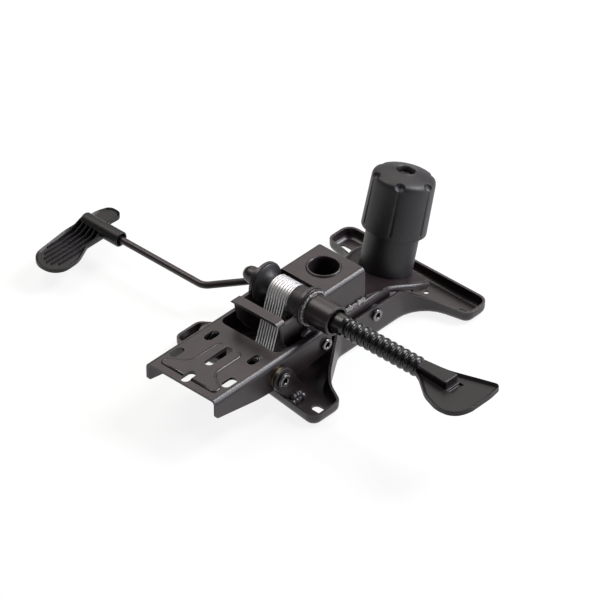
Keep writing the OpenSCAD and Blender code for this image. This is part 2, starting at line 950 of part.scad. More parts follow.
// Side view of the bracket walls, tapering to the rear pivot
back_side = rounded([
    [-back_end, back_top + 5],
    [-back_end, 35],
    [-150, 25.5],
    [-118, 23],
    [-90, 25],
    [rear_y + back_nose, 29],
    [rear_y + back_nose, 47],
    [rear_y - 1, back_top - 1.5],
    [rear_y - 12, back_top],
    [-100, back_top],
    [-101, back_top + 5]
], [0.2, 4, 20, 16, 30, 5, 4, 3, 6, 0.2, 0.2], 6);

module back_section() {
    outer = [[-back_half, 0], [-back_half, back_top], [back_half, back_top], [back_half, 0]];
    under = back_top - back_sheet;
    inner = [[-back_in, -1], [-back_in, under], [back_in, under], [back_in, -1]];
    difference() {
        polygon(rounded(outer, [0.2, back_bend, back_bend, 0.2], 8));
        polygon(rounded(inner, [0.2, back_bend - back_sheet, back_bend - back_sheet, 0.2], 8));
    }
}

// Raised stiffening panel shaped as a T round the middle slots
module back_emboss() {
    bar = 33;
    stem = 14;
    pts = [
        [-bar, -back_end + 9],
        [bar, -back_end + 9],
        [bar, -back_end + 16],
        [stem, -back_end + 28],
        [stem, -back_notch - 23],
        [-stem, -back_notch - 23],
        [-stem, -back_end + 28],
        [-bar, -back_end + 16]
    ];
    translate([0, 0, back_top - 0.5])
        linear_extrude(1.5)
            polygon(rounded(pts, [3, 3, 4, 14, 6, 6, 14, 4], 6));
}

module back_bracket() {
    length = back_end + rear_y + back_nose;
    color(steel_black)
        difference() {
            union() {
                intersection() {
                    translate([0, rear_y + back_nose, 0])
                        rotate([90, 0, 0])
                            linear_extrude(length)
                                back_section();
                    upright(-cross, cross)
                        polygon(back_side);
                }
                back_emboss();
            }
            translate([0, 0, back_top - back_sheet - 5])
                linear_extrude(20)
                    polygon(rounded([
                        [-notch_half, -back_notch],
                        [notch_half, -back_notch],
                        [notch_half, 0],
                        [-notch_half, 0]
                    ], [7, 7, 1, 1], 6));
            for (s = [-1, 1]) {
                slot(s * 27, -135.5, 20, 80, back_slot_l, back_slot_w, false);
                slot(s * 33, -175.5, 20, 80, back_slot_l, back_slot_w, false);
            }
            slot(0, -194.5, 20, 80, back_slot_l, back_slot_w, false);
            slot(0, -154, 20, 80, back_slot_long, back_slot_w, false);
            across(-cross, cross, rear_y, rear_z, pivot_r + 1.5);
            upright(-cross, cross)
                polygon(band(
                    [link_y - link_play, link_z],
                    link_r + 0.35,
                    [link_y + link_play, link_z],
                    link_r + 0.3,
                    16
                ));
        }
}

module back_bushes() {
    color(plastic_black)
        both_sides()
            tube(back_in, back_half, rear_y, rear_z, pivot_r + 1.5 - hair, pivot_r + run);
}

// Handle nose that turns in the clamp sleeve
module lock_hub() {
    color(plastic_black)
        translate([0, clamp_y, clamp_z])
            rotate([0, 90, 0])
                rotate_extrude()
                    polygon([
                        [0, 49],
                        [12 - run, 49],
                        [12 - run, sleeve_end - 6],
                        [nose_r, sleeve_end - 4],
                        [nose_r, nose_end - 4],
                        [nose_r - 1.2, nose_end - 1],
                        [nose_r - 2, nose_end],
                        [4 + hair, nose_end],
                        [4 + hair, 58],
                        [0, 58]
                    ]);
}

module lock_rod() {
    color(zinc)
        across(58, grip_end + 24, clamp_y, clamp_z, 4);
}

// Ribbed sleeve over the handle rod
function rib_edge(i, j) =
    let (t = j / 8)
    [rib_r - 2.6 * pow(abs(cos(180 * t)), 1.6), nose_end + 0.1 + grip_pitch * (i + t)];

module lock_grip() {
    edge = [for (i = [0:rib_n - 1])
        for (j = [0:i == rib_n - 1 ? 8 : 7]) rib_edge(i, j)];
    color(plastic_black)
        translate([0, clamp_y, clamp_z])
            rotate([0, 90, 0])
                rotate_extrude()
                    polygon(concat(
                        [[4 + hair, nose_end + 0.1]],
                        edge,
                        [[4 + hair, nose_end + 0.1 + grip_pitch * rib_n]]
                    ));
}

lock_path = [
    [grip_end + 5, -8.5],
    [grip_end + 10, -10.5],
    [lock_end - 38, -24],
    [lock_end, -lock_half + 2],
    [lock_end, lock_half - 1],
    [lock_end - 33, 22],
    [grip_end + 13, 9.5],
    [grip_end + 5, 8.5]
];

module lock_face(d) {
    polygon(rounded(moved(lock_path, d), [1.5, 12, 36, 13 - d, 9 - d, 40, 12, 1.5], 6));
}

// Dished paddle with a box socket for the rod
module lock_paddle() {
    color(plastic_black)
        translate([0, clamp_y, clamp_z])
            difference() {
                union() {
                    translate([0, 0, -3.5])
                        linear_extrude(2.6)
                            lock_face(0);
                    translate([0, 0, -3.5])
                        linear_extrude(7)
                            difference() {
                                lock_face(0);
                                lock_face(2.2);
                            }
                    translate([grip_end + 5, 0, 0])
                        rotate([90, 0, 90])
                            linear_extrude(lock_end - grip_end - 41)
                                polygon(rounded(
                                    [[-8.5, -6.5], [8.5, -6.5], [8.5, 8], [-8.5, 8]],
                                    [2, 2, 3, 3],
                                    6
                                ));
                }
                across(grip_end - 4, grip_end + 24 + hair, 0, 0, 4 + hair);
                translate([lock_end - 35, -5.5, -20])
                    cube([4.5, 11, 40]);
            }
}

// Bend of the lever rod, its ends just inside the straight runs
module rod_elbow(x, y, turn, start, r) {
    translate([x, y, 0])
        rotate([0, 0, start - 1])
            rotate_extrude(angle = turn + 2)
                translate([r, 0])
                    circle(r = rod_r - hair);
}

// Cranked lever rod with a flattened inner end
module gas_rod() {
    diag = [rod_bend_in - rod_bend_out, rod_in_y - rod_out_y];
    turn = atan2(diag[1], diag[0]);
    r = 12;
    t = r * tan(turn / 2);
    color(steel_black)
        translate([0, 0, rod_z]) {
            across(paddle_end + 14, rod_bend_out - t, rod_out_y, 0, rod_r);
            rod_elbow(rod_bend_out - t, rod_out_y + r, turn, -90, r);
            translate([rod_bend_out + t * cos(turn), rod_out_y + t * sin(turn), 0])
                rotate([0, 0, turn])
                    rotate([0, 90, 0])
                        cylinder(h = norm(diag) - 2 * t, r = rod_r);
            rod_elbow(rod_bend_in + t, rod_in_y - r, turn, 90, r);
            across(rod_bend_in + t, -10, rod_in_y, 0, rod_r);
            translate([-12, rod_in_y - 5, -1.6])
                cube([16, 15, 3.2]);
        }
}

paddle_path = [
    [paddle_end, rod_out_y + 17],
    [paddle_end, rod_out_y - 73],
    [paddle_end + paddle_w, rod_out_y - 73],
    [paddle_end + paddle_w - 1, rod_out_y - 36],
    [paddle_end + 29, rod_out_y - 13],
    [paddle_end + 29, rod_out_y + 6],
    [paddle_end + 21, rod_out_y + 17],
    [paddle_end + 22, rod_out_y + 38],
    [paddle_end + 4, rod_out_y + 38]
];

module paddle_face(d) {
    polygon(rounded(moved(paddle_path, d), [26, 20 - d, 19 - d, 20, 24, 9, 14, 8 - d, 8 - d], 7));
}

// Rib of the lever blade, rising to the stem as a fin
module paddle_rib(i) {
    x = paddle_end + 5.2 + 5 * i;
    upright(x, x + 1.4)
        polygon([
            [rod_out_y - 62 + 1.5 * abs(i - 2), rod_z - 8],
            [rod_out_y + (i < 3 ? 31 : 8), rod_z - 8],
            [rod_out_y + (i < 3 ? 31 : 8), rod_z - 5],
            [rod_out_y + 7, rod_z + 3],
            [rod_out_y - 7, rod_z + 3],
            [rod_out_y - 34, rod_z - 4.5],
            [rod_out_y - 62 + 1.5 * abs(i - 2), rod_z - 5]
        ]);
}

// Lever blade with a rim, ribs and a stem tube
module gas_paddle() {
    color(plastic_black)
        difference() {
            union() {
                translate([0, 0, rod_z - 9])
                    linear_extrude(2.6)
                        paddle_face(0);
                translate([0, 0, rod_z - 9])
                    linear_extrude(6)
                        difference() {
                            paddle_face(0);
                            paddle_face(2.4);
                        }
                for (i = [0:4])
                    paddle_rib(i);
                across(paddle_end + 6, paddle_end + 55, rod_out_y, rod_z, 7.75);
            }
            across(paddle_end + 14 - hair, paddle_end + 60, rod_out_y, rod_z, rod_r + hair);
            across(paddle_end + 47, paddle_end + 60, rod_out_y, rod_z, 6);
        }
}

module tension_bolt() {
    color(zinc)
        on_spring_axis()
            difference() {
                union() {
                    translate([0, 0, bolt_eye])
                        cylinder(h = bolt_top - bolt_eye, r = bolt_r);
                    across(-6.8, 6.8, 0, bolt_eye, 8);
                }
                upright(-20, 20)
                    polygon(band([-1.4, bolt_eye], 4.3, [1.4, bolt_eye], 4.25, 16));
            }
}

module thrust_washer() {
    color(zinc)
        on_spring_axis()
            translate([0, 0, washer_at])
                difference() {
                    cylinder(h = 3, r = washer_r);
                    translate([0, 0, -1])
                        cylinder(h = 6, r = bolt_r + 0.3);
                }
}

module knob_insert() {
    color(zinc)
        on_spring_axis()
            translate([0, 0, washer_at + 3.1])
                difference() {
                    union() {
                        cylinder(h = 3, r = insert_r);
                        cylinder(h = 12, r = 9);
                    }
                    translate([0, 0, -1])
                        cylinder(h = 20, r = bolt_r + run);
                }
}

// Grip groove of the knob: a round foot, a run that widens and a scallop in the shoulder
module knob_groove(shoulder) {
    foot = knob_low + 5;
    translate([knob_r + 0.5, 0, foot]) {
        sphere(r = 1.7);
        cylinder(h = shoulder + 2 - foot, r1 = 1.7, r2 = 2.9);
    }
    translate([knob_r - 0.4, 0, shoulder + 4.5])
        sphere(r = 5);
}

// Hollow hand knob with grip grooves
module tension_knob() {
    shoulder = knob_high - knob_crown;
    phase = 2;
    color(plastic_black)
        on_spring_axis()
            difference() {
                rotate_extrude()
                    polygon([
                        [knob_in, knob_low],
                        [knob_r - 0.6, knob_low],
                        [knob_r, knob_low + 0.8],
                        [knob_r - 0.8, shoulder],
                        [knob_r - 1.5, shoulder + 2.6],
                        [knob_r - 3.3, shoulder + 5],
                        [knob_r - 6.3, shoulder + 6.8],
                        [knob_r - 11, shoulder + 8.4],
                        [knob_hole + 1, knob_high],
                        [knob_hole, knob_high - 0.8],
                        [knob_hole, washer_at + 6.1],
                        [insert_r + hair, washer_at + 6.1],
                        [insert_r + hair, washer_at + 3],
                        [knob_in, washer_at + 3]
                    ]);
                for (i = [0:groove_n - 1])
                    rotate([0, 0, 360 / groove_n * i + phase])
                        knob_groove(shoulder);
            }
}

housing_box();
housing_cradle();
gas_socket();
front_axle();
rear_pins();
rear_spacers();
clamp_bolt();
clamp_nut();
clamp_flange();
clamp_collars();
fixed_discs();
clamp_sleeve();
spring_cup();
tension_spring();
return_spring();
spring_stud();
lever_bush();
seat_pan();
pan_bushes();
pivot_ears();
ear_welds();
link_pins();
link_washers();
clamp_plates();
plate_lugs();
plate_pin();
bolt_lugs();
bolt_pin();
back_bracket();
back_bushes();
lock_hub();
lock_rod();
lock_grip();
lock_paddle();
gas_rod();
gas_paddle();
tension_bolt();
thrust_washer();
tension_knob();
knob_insert();
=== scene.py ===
"""Looks of an office chair tilt mechanism that lies on its seat face.

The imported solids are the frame. This script rounds their edges, gives every piece a procedural
finish, winds the springs, makes the knob, the grip, the paddle and the lever in fuller forms, and
adds the weld beads and the rolled rims of the pivots. Lengths are in metres. A size written in
millimetres is turned into metres by MM, where it is set or where it is used.
"""

import json
import logging
import math
from dataclasses import dataclass, field
from enum import Enum

import bmesh
import bpy
from bmesh.types import BMEdge, BMesh, BMFace, BMVert
from bpy.types import Material, Node, NodeSocket, NodeTree, Object
from mathutils import Matrix, Vector


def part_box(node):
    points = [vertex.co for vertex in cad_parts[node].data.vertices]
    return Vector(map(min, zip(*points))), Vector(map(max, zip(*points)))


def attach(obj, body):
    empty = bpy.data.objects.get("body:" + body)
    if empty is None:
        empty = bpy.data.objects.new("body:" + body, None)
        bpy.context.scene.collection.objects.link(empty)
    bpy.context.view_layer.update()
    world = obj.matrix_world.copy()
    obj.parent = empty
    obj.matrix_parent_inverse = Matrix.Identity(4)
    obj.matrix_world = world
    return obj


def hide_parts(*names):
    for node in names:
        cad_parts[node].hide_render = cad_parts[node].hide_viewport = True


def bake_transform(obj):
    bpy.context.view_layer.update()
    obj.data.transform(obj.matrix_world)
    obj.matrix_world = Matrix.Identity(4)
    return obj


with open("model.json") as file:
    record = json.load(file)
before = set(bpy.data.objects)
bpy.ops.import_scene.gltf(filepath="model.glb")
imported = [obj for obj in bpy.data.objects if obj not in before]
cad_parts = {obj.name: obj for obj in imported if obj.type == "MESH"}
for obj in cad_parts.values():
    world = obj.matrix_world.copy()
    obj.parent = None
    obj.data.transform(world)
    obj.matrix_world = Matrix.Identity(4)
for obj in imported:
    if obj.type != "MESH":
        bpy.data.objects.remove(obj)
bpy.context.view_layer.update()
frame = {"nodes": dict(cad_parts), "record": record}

# Radius and distance along the axis of each corner of a turned form.
Profile = tuple[tuple[float, float], ...]
# Three sizes of each point of a form, in millimetres.
Triples = tuple[tuple[float, float, float], ...]

LOG = logging.getLogger("tilt_mechanism")
MM = 0.001
AXIS_X = Vector((1.0, 0.0, 0.0))
AXIS_Y = Vector((0.0, 1.0, 0.0))
AXIS_Z = Vector((0.0, 0.0, 1.0))
# Corners of a solid that lie closer than this are one corner.
MERGE_MM = 0.12
# Turns of a surface, in degrees: flat below the first, rounded on solids above the second and on
# moulded pieces above the third.
FLAT_DEG = 0.6
EDGE_DEG = 34.0
SHARP_DEG = 40.0
# How strongly large faces lead the shading.
FACE_WEIGHT = 80
# Facets round a turned piece, round a corner and round a rod.
TURNED_STEPS = 72
CORNER_STEPS = 8
ROD_STEPS = 14
# How often the corners of a soft path are cut.
EASE_ROUNDS = 3
# Points that differ by less than this are level with each other.
LEVEL = 0.1 * MM
# Range that a noise pattern really fills.
NOISE_RANGE = {"From Min": 0.3, "From Max": 0.7}
# Cosines of the turn at an edge where the wear and the painted edge highlight begin and where they are full.
EDGE_WEAR_AND_HIGHLIGHT_RANGE = {"From Min": 0.995, "From Max": 0.86}


class Side(Enum):
    """The two sides of the chair, by the sign of X."""

    RIGHT = 1
    LEFT = -1


def linear(code: str) -> tuple[float, float, float, float]:
    """Turn an sRGB hex value into linear red, green, blue and alpha.

    Args:
        code: Six hex digits with a leading hash.

    Returns:
        The linear colour with an alpha of 1.
    """
    parts = [int(code[i:i + 2], 16) / 255 for i in (1, 3, 5)]
    lin = [c / 12.92 if c <= 0.04045 else ((c + 0.055) / 1.055) ** 2.4 for c in parts]
    return lin[0], lin[1], lin[2], 1.0


def add(tree: NodeTree, kind: str, inputs: dict | None = None,
        **settings: object) -> Node:
    """Add one shader node, set its options and fill or link its inputs.

    Args:
        tree: The node tree.
        kind: Type name of the node.
        inputs: Input name or index to a value, or to a socket that is linked in.
        settings: Options of the node itself.

    Returns:
        The new node.
    """
    new = tree.nodes.new(kind)
    for key, value in settings.items():
        setattr(new, key, value)
    for key, value in (inputs or {}).items():
        if isinstance(value, NodeSocket):
            tree.links.new(value, new.inputs[key])
        else:
            new.inputs[key].default_value = value
    return new


def per_mm(size_mm: float) -> float:
    """Return the texture scale at which one period of a pattern is this many millimetres."""
    return 1.0 / (size_mm * MM)


@dataclass(frozen=True)
class Finish:
    """A surface finish: its colours, gloss and the real size of its grain."""

    name: str
    dark: str
    light: str
    rough_low: float
    rough_high: float
    grain_mm: float
    patch_mm: float
    bump: float
    metallic: float = 0.0
    ior: float = 1.5
    coat: float = 0.0
    worn_and_highlit_edge: str = ""
    worn_and_highlit_edge_mm: float = 0.6
    brush: tuple[float, float, float] = (1.0, 1.0, 1.0)

    def material(self) -> Material:
        """Build the finish as a node material.

        Returns:
            The material, made once and then shared.
        """
        if self.name in bpy.data.materials:
            return bpy.data.materials[self.name]
        made = bpy.data.materials.new(self.name)
        made.use_nodes = True
        tree = made.node_tree
        tree.nodes.clear()
        place = add(tree, "ShaderNodeTexCoord").outputs["Object"]
        run = add(tree, "ShaderNodeMapping", {"Vector": place, "Scale": self.brush}).outputs["Vector"]
        patch = add(tree, "ShaderNodeTexNoise",
                    {"Vector": place, "Scale": per_mm(self.patch_mm), "Detail": 4.0, "Roughness": 0.6})
        grain = add(tree, "ShaderNodeTexNoise",
                    {"Vector": run, "Scale": per_mm(self.grain_mm), "Detail": 2.0, "Roughness": 0.5})
        tone = add(tree, "ShaderNodeMapRange", {"Value": patch.outputs["Fac"], **NOISE_RANGE})
        colour = add(tree, "ShaderNodeMix",
                     {"Factor": tone.outputs["Result"], "A": linear(self.dark), "B": linear(self.light)},
                     data_type="RGBA")
        base = colour.outputs["Result"]
        # Lighter edges: partly wear, partly a painted highlight along the edges.
        if self.worn_and_highlit_edge:
            base = self._worn_and_highlit_edges(tree, base, patch.outputs["Fac"])
        gloss = add(tree, "ShaderNodeMapRange",
                    {"Value": grain.outputs["Fac"], **NOISE_RANGE, "To Min": self.rough_low,
                     "To Max": self.rough_high})
        relief = add(tree, "ShaderNodeBump",
                     {"Height": grain.outputs["Fac"], "Strength": self.bump, "Distance": 0.1 * MM})
        shader = add(tree, "ShaderNodeBsdfPrincipled",
                     {"Base Color": base, "Roughness": gloss.outputs["Result"], "Metallic": self.metallic,
                      "IOR": self.ior, "Coat Weight": self.coat, "Coat Roughness": 0.25,
                      "Normal": relief.outputs["Normal"]})
        add(tree, "ShaderNodeOutputMaterial", {"Surface": shader.outputs["BSDF"]})
        return made

    def _worn_and_highlit_edges(self, tree: NodeTree, base: NodeSocket,
                    patch: NodeSocket) -> NodeSocket:
        """Lighten the coat along edges: partly wear where handling thins it, partly a painted highlight that
        the edges catch.

        Args:
            tree: The material's tree.
            base: The colour away from the edges.
            patch: A slow pattern that breaks the wear and the painted highlight up.

        Returns:
            The colour with its worn, highlit edges.
        """
        flat = add(tree, "ShaderNodeNewGeometry").outputs["Normal"]
        round_off = add(tree, "ShaderNodeBevel", {"Radius": self.worn_and_highlit_edge_mm * MM}, samples=4).outputs["Normal"]
        turn = add(tree, "ShaderNodeVectorMath", {0: flat, 1: round_off}, operation="DOT_PRODUCT")
        edge = add(tree, "ShaderNodeMapRange", {"Value": turn.outputs["Value"], **EDGE_WEAR_AND_HIGHLIGHT_RANGE})
        broken = add(tree, "ShaderNodeMath", {0: edge.outputs["Result"], 1: patch}, operation="MULTIPLY")
        mixed = add(tree, "ShaderNodeMix",
                    {"Factor": broken.outputs["Value"], "A": base, "B": linear(self.worn_and_highlit_edge)}, data_type="RGBA")
        return mixed.outputs["Result"]


# Black polyester powder coat on pressed steel: an even satin with orange peel about a millimetre wide,
# dusty in patches and thin on cut edges; the lighter edges are partly wear, partly a painted highlight.
POWDER_COAT = Finish("powder_coat_black", "#1c1618", "#281f22", 0.28, 0.42, 1.1, 22.0, 0.22, worn_and_highlit_edge="#857c80")
# Weld lumps under the coat: the paint runs thick on them, so they shine more than the sheet.
WELD_COAT = Finish("coated_weld", "#2b2729", "#454042", 0.2, 0.34, 2.4, 6.0, 0.3)
# Weld beads under the coat: bright specks painted into the colour stand in for the glints on their ripples.
WELD_PAINTED_GLINTS = Finish("weld_painted_glints", "#191617", "#a3a09f", 0.16, 0.32, 1.6, 2.0, 0.5)
# Nylon with glass fibre, from an eroded mould: a fine even grain, half matt; edges partly worn, partly
# painted highlight.
NYLON = Finish("nylon_black", "#181619", "#1f1c20", 0.42, 0.56, 0.7, 18.0, 0.3, worn_and_highlit_edge="#4a464a")
# Polypropylene from a polished mould: deep black, glossy, with hardly any grain.
POLYPROPYLENE = Finish("polypropylene_black", "#0d0c0d", "#131213", 0.24, 0.3, 2.4, 14.0, 0.03, coat=0.15)
# Smooth moulded nylon: darker than the grained knob, with a broad soft sheen on the paddle's rim;
# its lighter edges are partly wear, partly a painted highlight.
SMOOTH_NYLON = Finish("nylon_smooth_black", "#121012", "#181518", 0.36, 0.46, 0.9, 16.0, 0.14, ior=1.4,
                      worn_and_highlit_edge="#5a5659")
# Bright zinc plate on stamped steel: fine drawing lines along the plate, a cool grey.
ZINC = Finish("zinc_plate", "#c6c5c7", "#dfdee0", 0.36, 0.5, 0.5, 6.0, 0.12, metallic=0.7,
              brush=(1.0, 1.0, 0.15))
# Yellow chromate on zinc: brassy with a pale cast.
YELLOW_ZINC = Finish("yellow_zinc_plate", "#a5977a", "#c2b48e", 0.3, 0.45, 0.6, 4.0, 0.12, metallic=1.0)
# Oil-tempered spring wire: dark grey with a thin film of oil.
SPRING_WIRE = Finish("spring_wire", "#5b595a", "#757274", 0.25, 0.4, 0.5, 5.0, 0.1, metallic=1.0)
# Black phosphate on turned steel pins, with bright rims where they were rolled over.
PHOSPHATE = Finish("phosphate_pin", "#3a3838", "#545152", 0.3, 0.45, 0.5, 3.0, 0.15, metallic=1.0,
                   worn_and_highlit_edge="#c9c7c8", worn_and_highlit_edge_mm=0.8)
# Bare steel rolled over cold: bright, with a faint turning grain.
ROLLED_STEEL = Finish("rolled_steel", "#6d6b6c", "#8b898a", 0.2, 0.32, 0.4, 2.0, 0.1, metallic=1.0)

SLOT_FINISH = {
    "powder_black": POWDER_COAT,
    "zinc": ZINC,
    "yellow_zinc": YELLOW_ZINC,
    "spring_steel": SPRING_WIRE,
    "satin_plastic": NYLON,
    "gloss_plastic": POLYPROPYLENE,
}


def wear(obj: Object, finish: Finish) -> None:
    """Give a piece one finish on all its faces."""
    obj.data.materials.clear()
    obj.data.materials.append(finish.material())


def even_shading(obj: Object) -> None:
    """Keep the flat faces of a piece flat in the light."""
    even = obj.modifiers.new("shading", "WEIGHTED_NORMAL")
    even.weight = FACE_WEIGHT


def soften(node: str, width_mm: float, merge_mm: float) -> Object:
    """Round the sharp edges of a solid with modifiers, as a press or a tumbler leaves them.

    Args:
        node: Name of the solid.
        width_mm: Width of the rounding, or 0 where only the shading is smoothed.
        merge_mm: Corners closer than this become one.

    Returns:
        The solid's object.
    """
    obj = frame["nodes"][node]
    weld = obj.modifiers.new("merge", "WELD")
    weld.merge_threshold = merge_mm * MM
    flat = obj.modifiers.new("flats", "DECIMATE")
    flat.decimate_type = "DISSOLVE"
    flat.angle_limit = math.radians(FLAT_DEG)
    if width_mm:
        edge = obj.modifiers.new("edges", "BEVEL")
        edge.width = width_mm * MM
        edge.segments = 3
        edge.limit_method = "ANGLE"
        edge.angle_limit = math.radians(EDGE_DEG)
        edge.use_clamp_overlap = True
    even_shading(obj)
    for poly in obj.data.polygons:
        poly.use_smooth = True
    return obj


def joint(name: str) -> dict:
    """Return a joint's row in the record."""
    return next(row for row in frame["record"]["behaviour"]["joints"] if row["name"] == name)


def joint_place(name: str) -> Vector:
    """Return where a joint sits."""
    return Vector(joint(name)["pos_m"])


def keep_piece(name: str, shape: BMesh, body: str, finish: Finish,
               stands_for: tuple[str, ...] = ()) -> Object:
    """Turn a bmesh into a finished piece that rides on a body.

    Args:
        name: Name of the piece.
        shape: The mesh, which is freed.
        body: Body that carries the piece, or an empty name where no body carries it.
        finish: Finish of the piece.
        stands_for: Solids that the piece replaces.

    Returns:
        The new piece.
    """
    bmesh.ops.remove_doubles(shape, verts=shape.verts[:], dist=0.001 * MM)
    bmesh.ops.recalc_face_normals(shape, faces=shape.faces[:])
    mesh = bpy.data.meshes.new(name)
    shape.to_mesh(mesh)
    shape.free()
    for poly in mesh.polygons:
        poly.use_smooth = True
    obj = bpy.data.objects.new(name, mesh)
    bpy.context.scene.collection.objects.link(obj)
    wear(obj, finish)
    if body:
        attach(obj, body)
    if stands_for:
        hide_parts(*stands_for)
    LOG.info("built %s", name)
    return obj


def only_verts(geom: list) -> list[BMVert]:
    """Return the vertices among the parts of a mesh."""
    return [item for item in geom if isinstance(item, BMVert)]


def metres(profile: Profile | list[tuple[float, float]]) -> list[tuple[float, float]]:
    """Return a profile of radius and distance in metres, from millimetres."""
    return [(radius * MM, along * MM) for radius, along in profile]


def lathe(shape: BMesh, outline: list[tuple[float, float]], centre: Vector, axis: Vector,
          steps: int = TURNED_STEPS) -> None:
    """Spin a closed outline about an axis.

    Args:
        shape: The mesh that takes the turned form.
        outline: Corners as radius and distance along the axis, from the centre.
        centre: Point on the axis.
        axis: Direction of the axis.
        steps: Facets round the axis.
    """
    out = axis.orthogonal().normalized()
    ring = [shape.verts.new(centre + out * radius + axis * along) for radius, along in outline]
    edges = [shape.edges.new(pair) for pair in zip(ring, ring[1:] + ring[:1])]
    bmesh.ops.spin(shape, geom=ring + edges, cent=centre, axis=axis, angle=2 * math.pi, steps=steps,
                   use_merge=True)


def rounded_face(shape: BMesh, corners: list[tuple[float, float, float]], level: float) -> BMFace:
    """Make a flat face with rounded corners.

    Args:
        shape: The mesh that takes the face.
        corners: X, Y and corner radius of each corner, in order.
        level: Height of the face.

    Returns:
        The face.
    """
    ring = [shape.verts.new((x, y, level)) for x, y, _ in corners]
    face = shape.faces.new(ring)
    reach = []
    for i, (_, _, radius) in enumerate(corners):
        before, after = ring[i - 1].co - ring[i].co, ring[(i + 1) % len(ring)].co - ring[i].co
        reach.append(radius / math.tan(before.angle(after) / 2))
    for vert, offset in zip(ring, reach):
        bmesh.ops.bevel(shape, geom=[vert], offset=offset, segments=CORNER_STEPS, profile=0.5,
                        affect="VERTICES", material=-1)
    return face if face.is_valid else max(shape.faces, key=lambda f: f.calc_area())


def dished_plate(shape: BMesh, corners: list[tuple[float, float, float]], level: float,
                 thick: float, rim_wide: float, rim_high: float) -> None:
    """Make a plate with a raised rim.

    Args:
        shape: The mesh that takes the plate.
        corners: X, Y and corner radius of each corner, in order.
        level: Height of the plate's underside.
        thick: Thickness of the plate at its rim.
        rim_wide: Width of the rim.
        rim_high: Height of the rim over the floor of the plate.
    """
    face = rounded_face(shape, corners, level)
    raised = bmesh.ops.extrude_face_region(shape, geom=[face], use_keep_orig=True)["geom"]
    bmesh.ops.translate(shape, verts=only_verts(raised), vec=AXIS_Z * thick)
    top = [f for f in raised if isinstance(f, BMFace)]
    bmesh.ops.inset_region(shape, faces=top, thickness=rim_wide, use_even_offset=True)
    bmesh.ops.translate(shape, verts=list({v for f in top for v in f.verts}), vec=AXIS_Z * -rim_high)
    bmesh.ops.recalc_face_normals(shape, faces=shape.faces[:])


def round_edges(shape: BMesh, radius: float, segments: int = 3) -> None:
    """Round all sharp edges.

    Args:
        shape: The mesh.
        radius: Radius of the rounding.
        segments: Facets across the rounding.
    """
    sharp = [e for e in shape.edges if e.is_manifold and e.calc_face_angle() > math.radians(SHARP_DEG)]
    bmesh.ops.bevel(shape, geom=sharp, offset=radius, segments=segments, profile=0.5, affect="EDGES",
                    material=-1)


def tube_along(shape: BMesh, path: list[Vector], radius: float) -> None:
    """Sweep a round rod along a path.

    Args:
        shape: The mesh that takes the rod.
        path: Points of the middle line.
        radius: Radius of the rod.
    """
    turn = (path[1] - path[0]).to_track_quat("Z", "Y").to_matrix().to_4x4()
    ring = bmesh.ops.create_circle(shape, cap_ends=True, segments=ROD_STEPS, radius=radius,
                                   matrix=Matrix.Translation(path[0]) @ turn)["verts"]
    edges = list({edge for vert in ring for edge in vert.link_edges})
    for i in range(1, len(path)):
        made = bmesh.ops.extrude_edge_only(shape, edges=edges)["geom"]
        ring = only_verts(made)
        edges = [item for item in made if isinstance(item, BMEdge)]
        ahead = path[min(i + 1, len(path) - 1)] - path[i - 1]
        new_turn = ahead.to_track_quat("Z", "Y").to_matrix().to_4x4()
        change = Matrix.Translation(path[i]) @ new_turn @ turn.inverted() @ Matrix.Translation(-path[i - 1])
        bmesh.ops.transform(shape, matrix=change, verts=ring)
        turn = new_turn
    bmesh.ops.holes_fill(shape, edges=edges, sides=ROD_STEPS)


def eased(points: list[Vector]) -> list[Vector]:
    """Cut the corners of a path again and again until it bends softly.

    Args:
        points: Corners of the path.

    Returns:
        The soft path, with the same ends.
    """
    for _ in range(EASE_ROUNDS):
        cut = [points[0]]
        for here, after in zip(points, points[1:]):
            cut += [here.lerp(after, 0.25), here.lerp(after, 0.75)]
        points = cut + [points[-1]]
    return points


def straight(start: Vector, end: Vector, pitch: float) -> list[Vector]:
    """Return points along a line, about one pitch apart."""
    count = max(2, round((end - start).length / pitch))
    return [start.lerp(end, i / count) for i in range(count + 1)]


def circle_path(centre: Vector, radius: float, pitch: float) -> list[Vector]:
    """Walk once round an axis that runs across the chair.

    Args:
        centre: Point on the axis.
        radius: Radius of the circle.
        pitch: Distance of neighbouring points, which is rounded to fit.

    Returns:
        The points, the last on the first.
    """
    count = round(2 * math.pi * radius / pitch)
    turns = [2 * math.pi * i / count for i in range(count + 1)]
    return [centre + Vector((0.0, math.cos(a), math.sin(a))) * radius for a in turns]


def close_ends(shape: BMesh) -> None:
    """Close the open ends of a mesh with flat faces."""
    ends = [edge for edge in shape.edges if edge.is_boundary]
    bmesh.ops.holes_fill(shape, edges=ends, sides=0)


@dataclass(frozen=True)
class Bead:
    """One kind of weld bead: half sizes of a ripple along, across and up, and the ripples' spacing."""

    along: float
    across: float
    up: float
    pitch: float
    swell: float = 0.16
    skin: float = 0.4 * MM

    def lay(self, shape: BMesh, path: list[Vector]) -> None:
        """Lay overlapping ripples along a path, each a little larger or smaller than the last.

        Args:
            shape: The mesh that takes the ripples.
            path: Centres of the ripples, with one more point that gives the last direction.
        """
        for i, (here, after) in enumerate(zip(path, path[1:])):
            # Two waves of different length keep the ripples from repeating.
            size = 1.0 + self.swell * (math.sin(2.4 * i) + 0.6 * math.sin(5.3 * i + 1.0))
            turn = (after - here).to_track_quat("X", "Z").to_matrix().to_4x4()
            half = Matrix.Diagonal((self.along * size, self.across * size, self.up * size, 1.0))
            bmesh.ops.create_icosphere(shape, subdivisions=3, radius=1.0,
                                       matrix=Matrix.Translation(here) @ turn @ half)

    def run_together(self, obj: Object) -> None:
        """Melt the ripples of a piece into one skin.

        Args:
            obj: The piece.
        """
        melt = obj.modifiers.new("melt", "REMESH")
        melt.mode = "VOXEL"
        melt.voxel_size = self.skin
        melt.use_smooth_shade = True


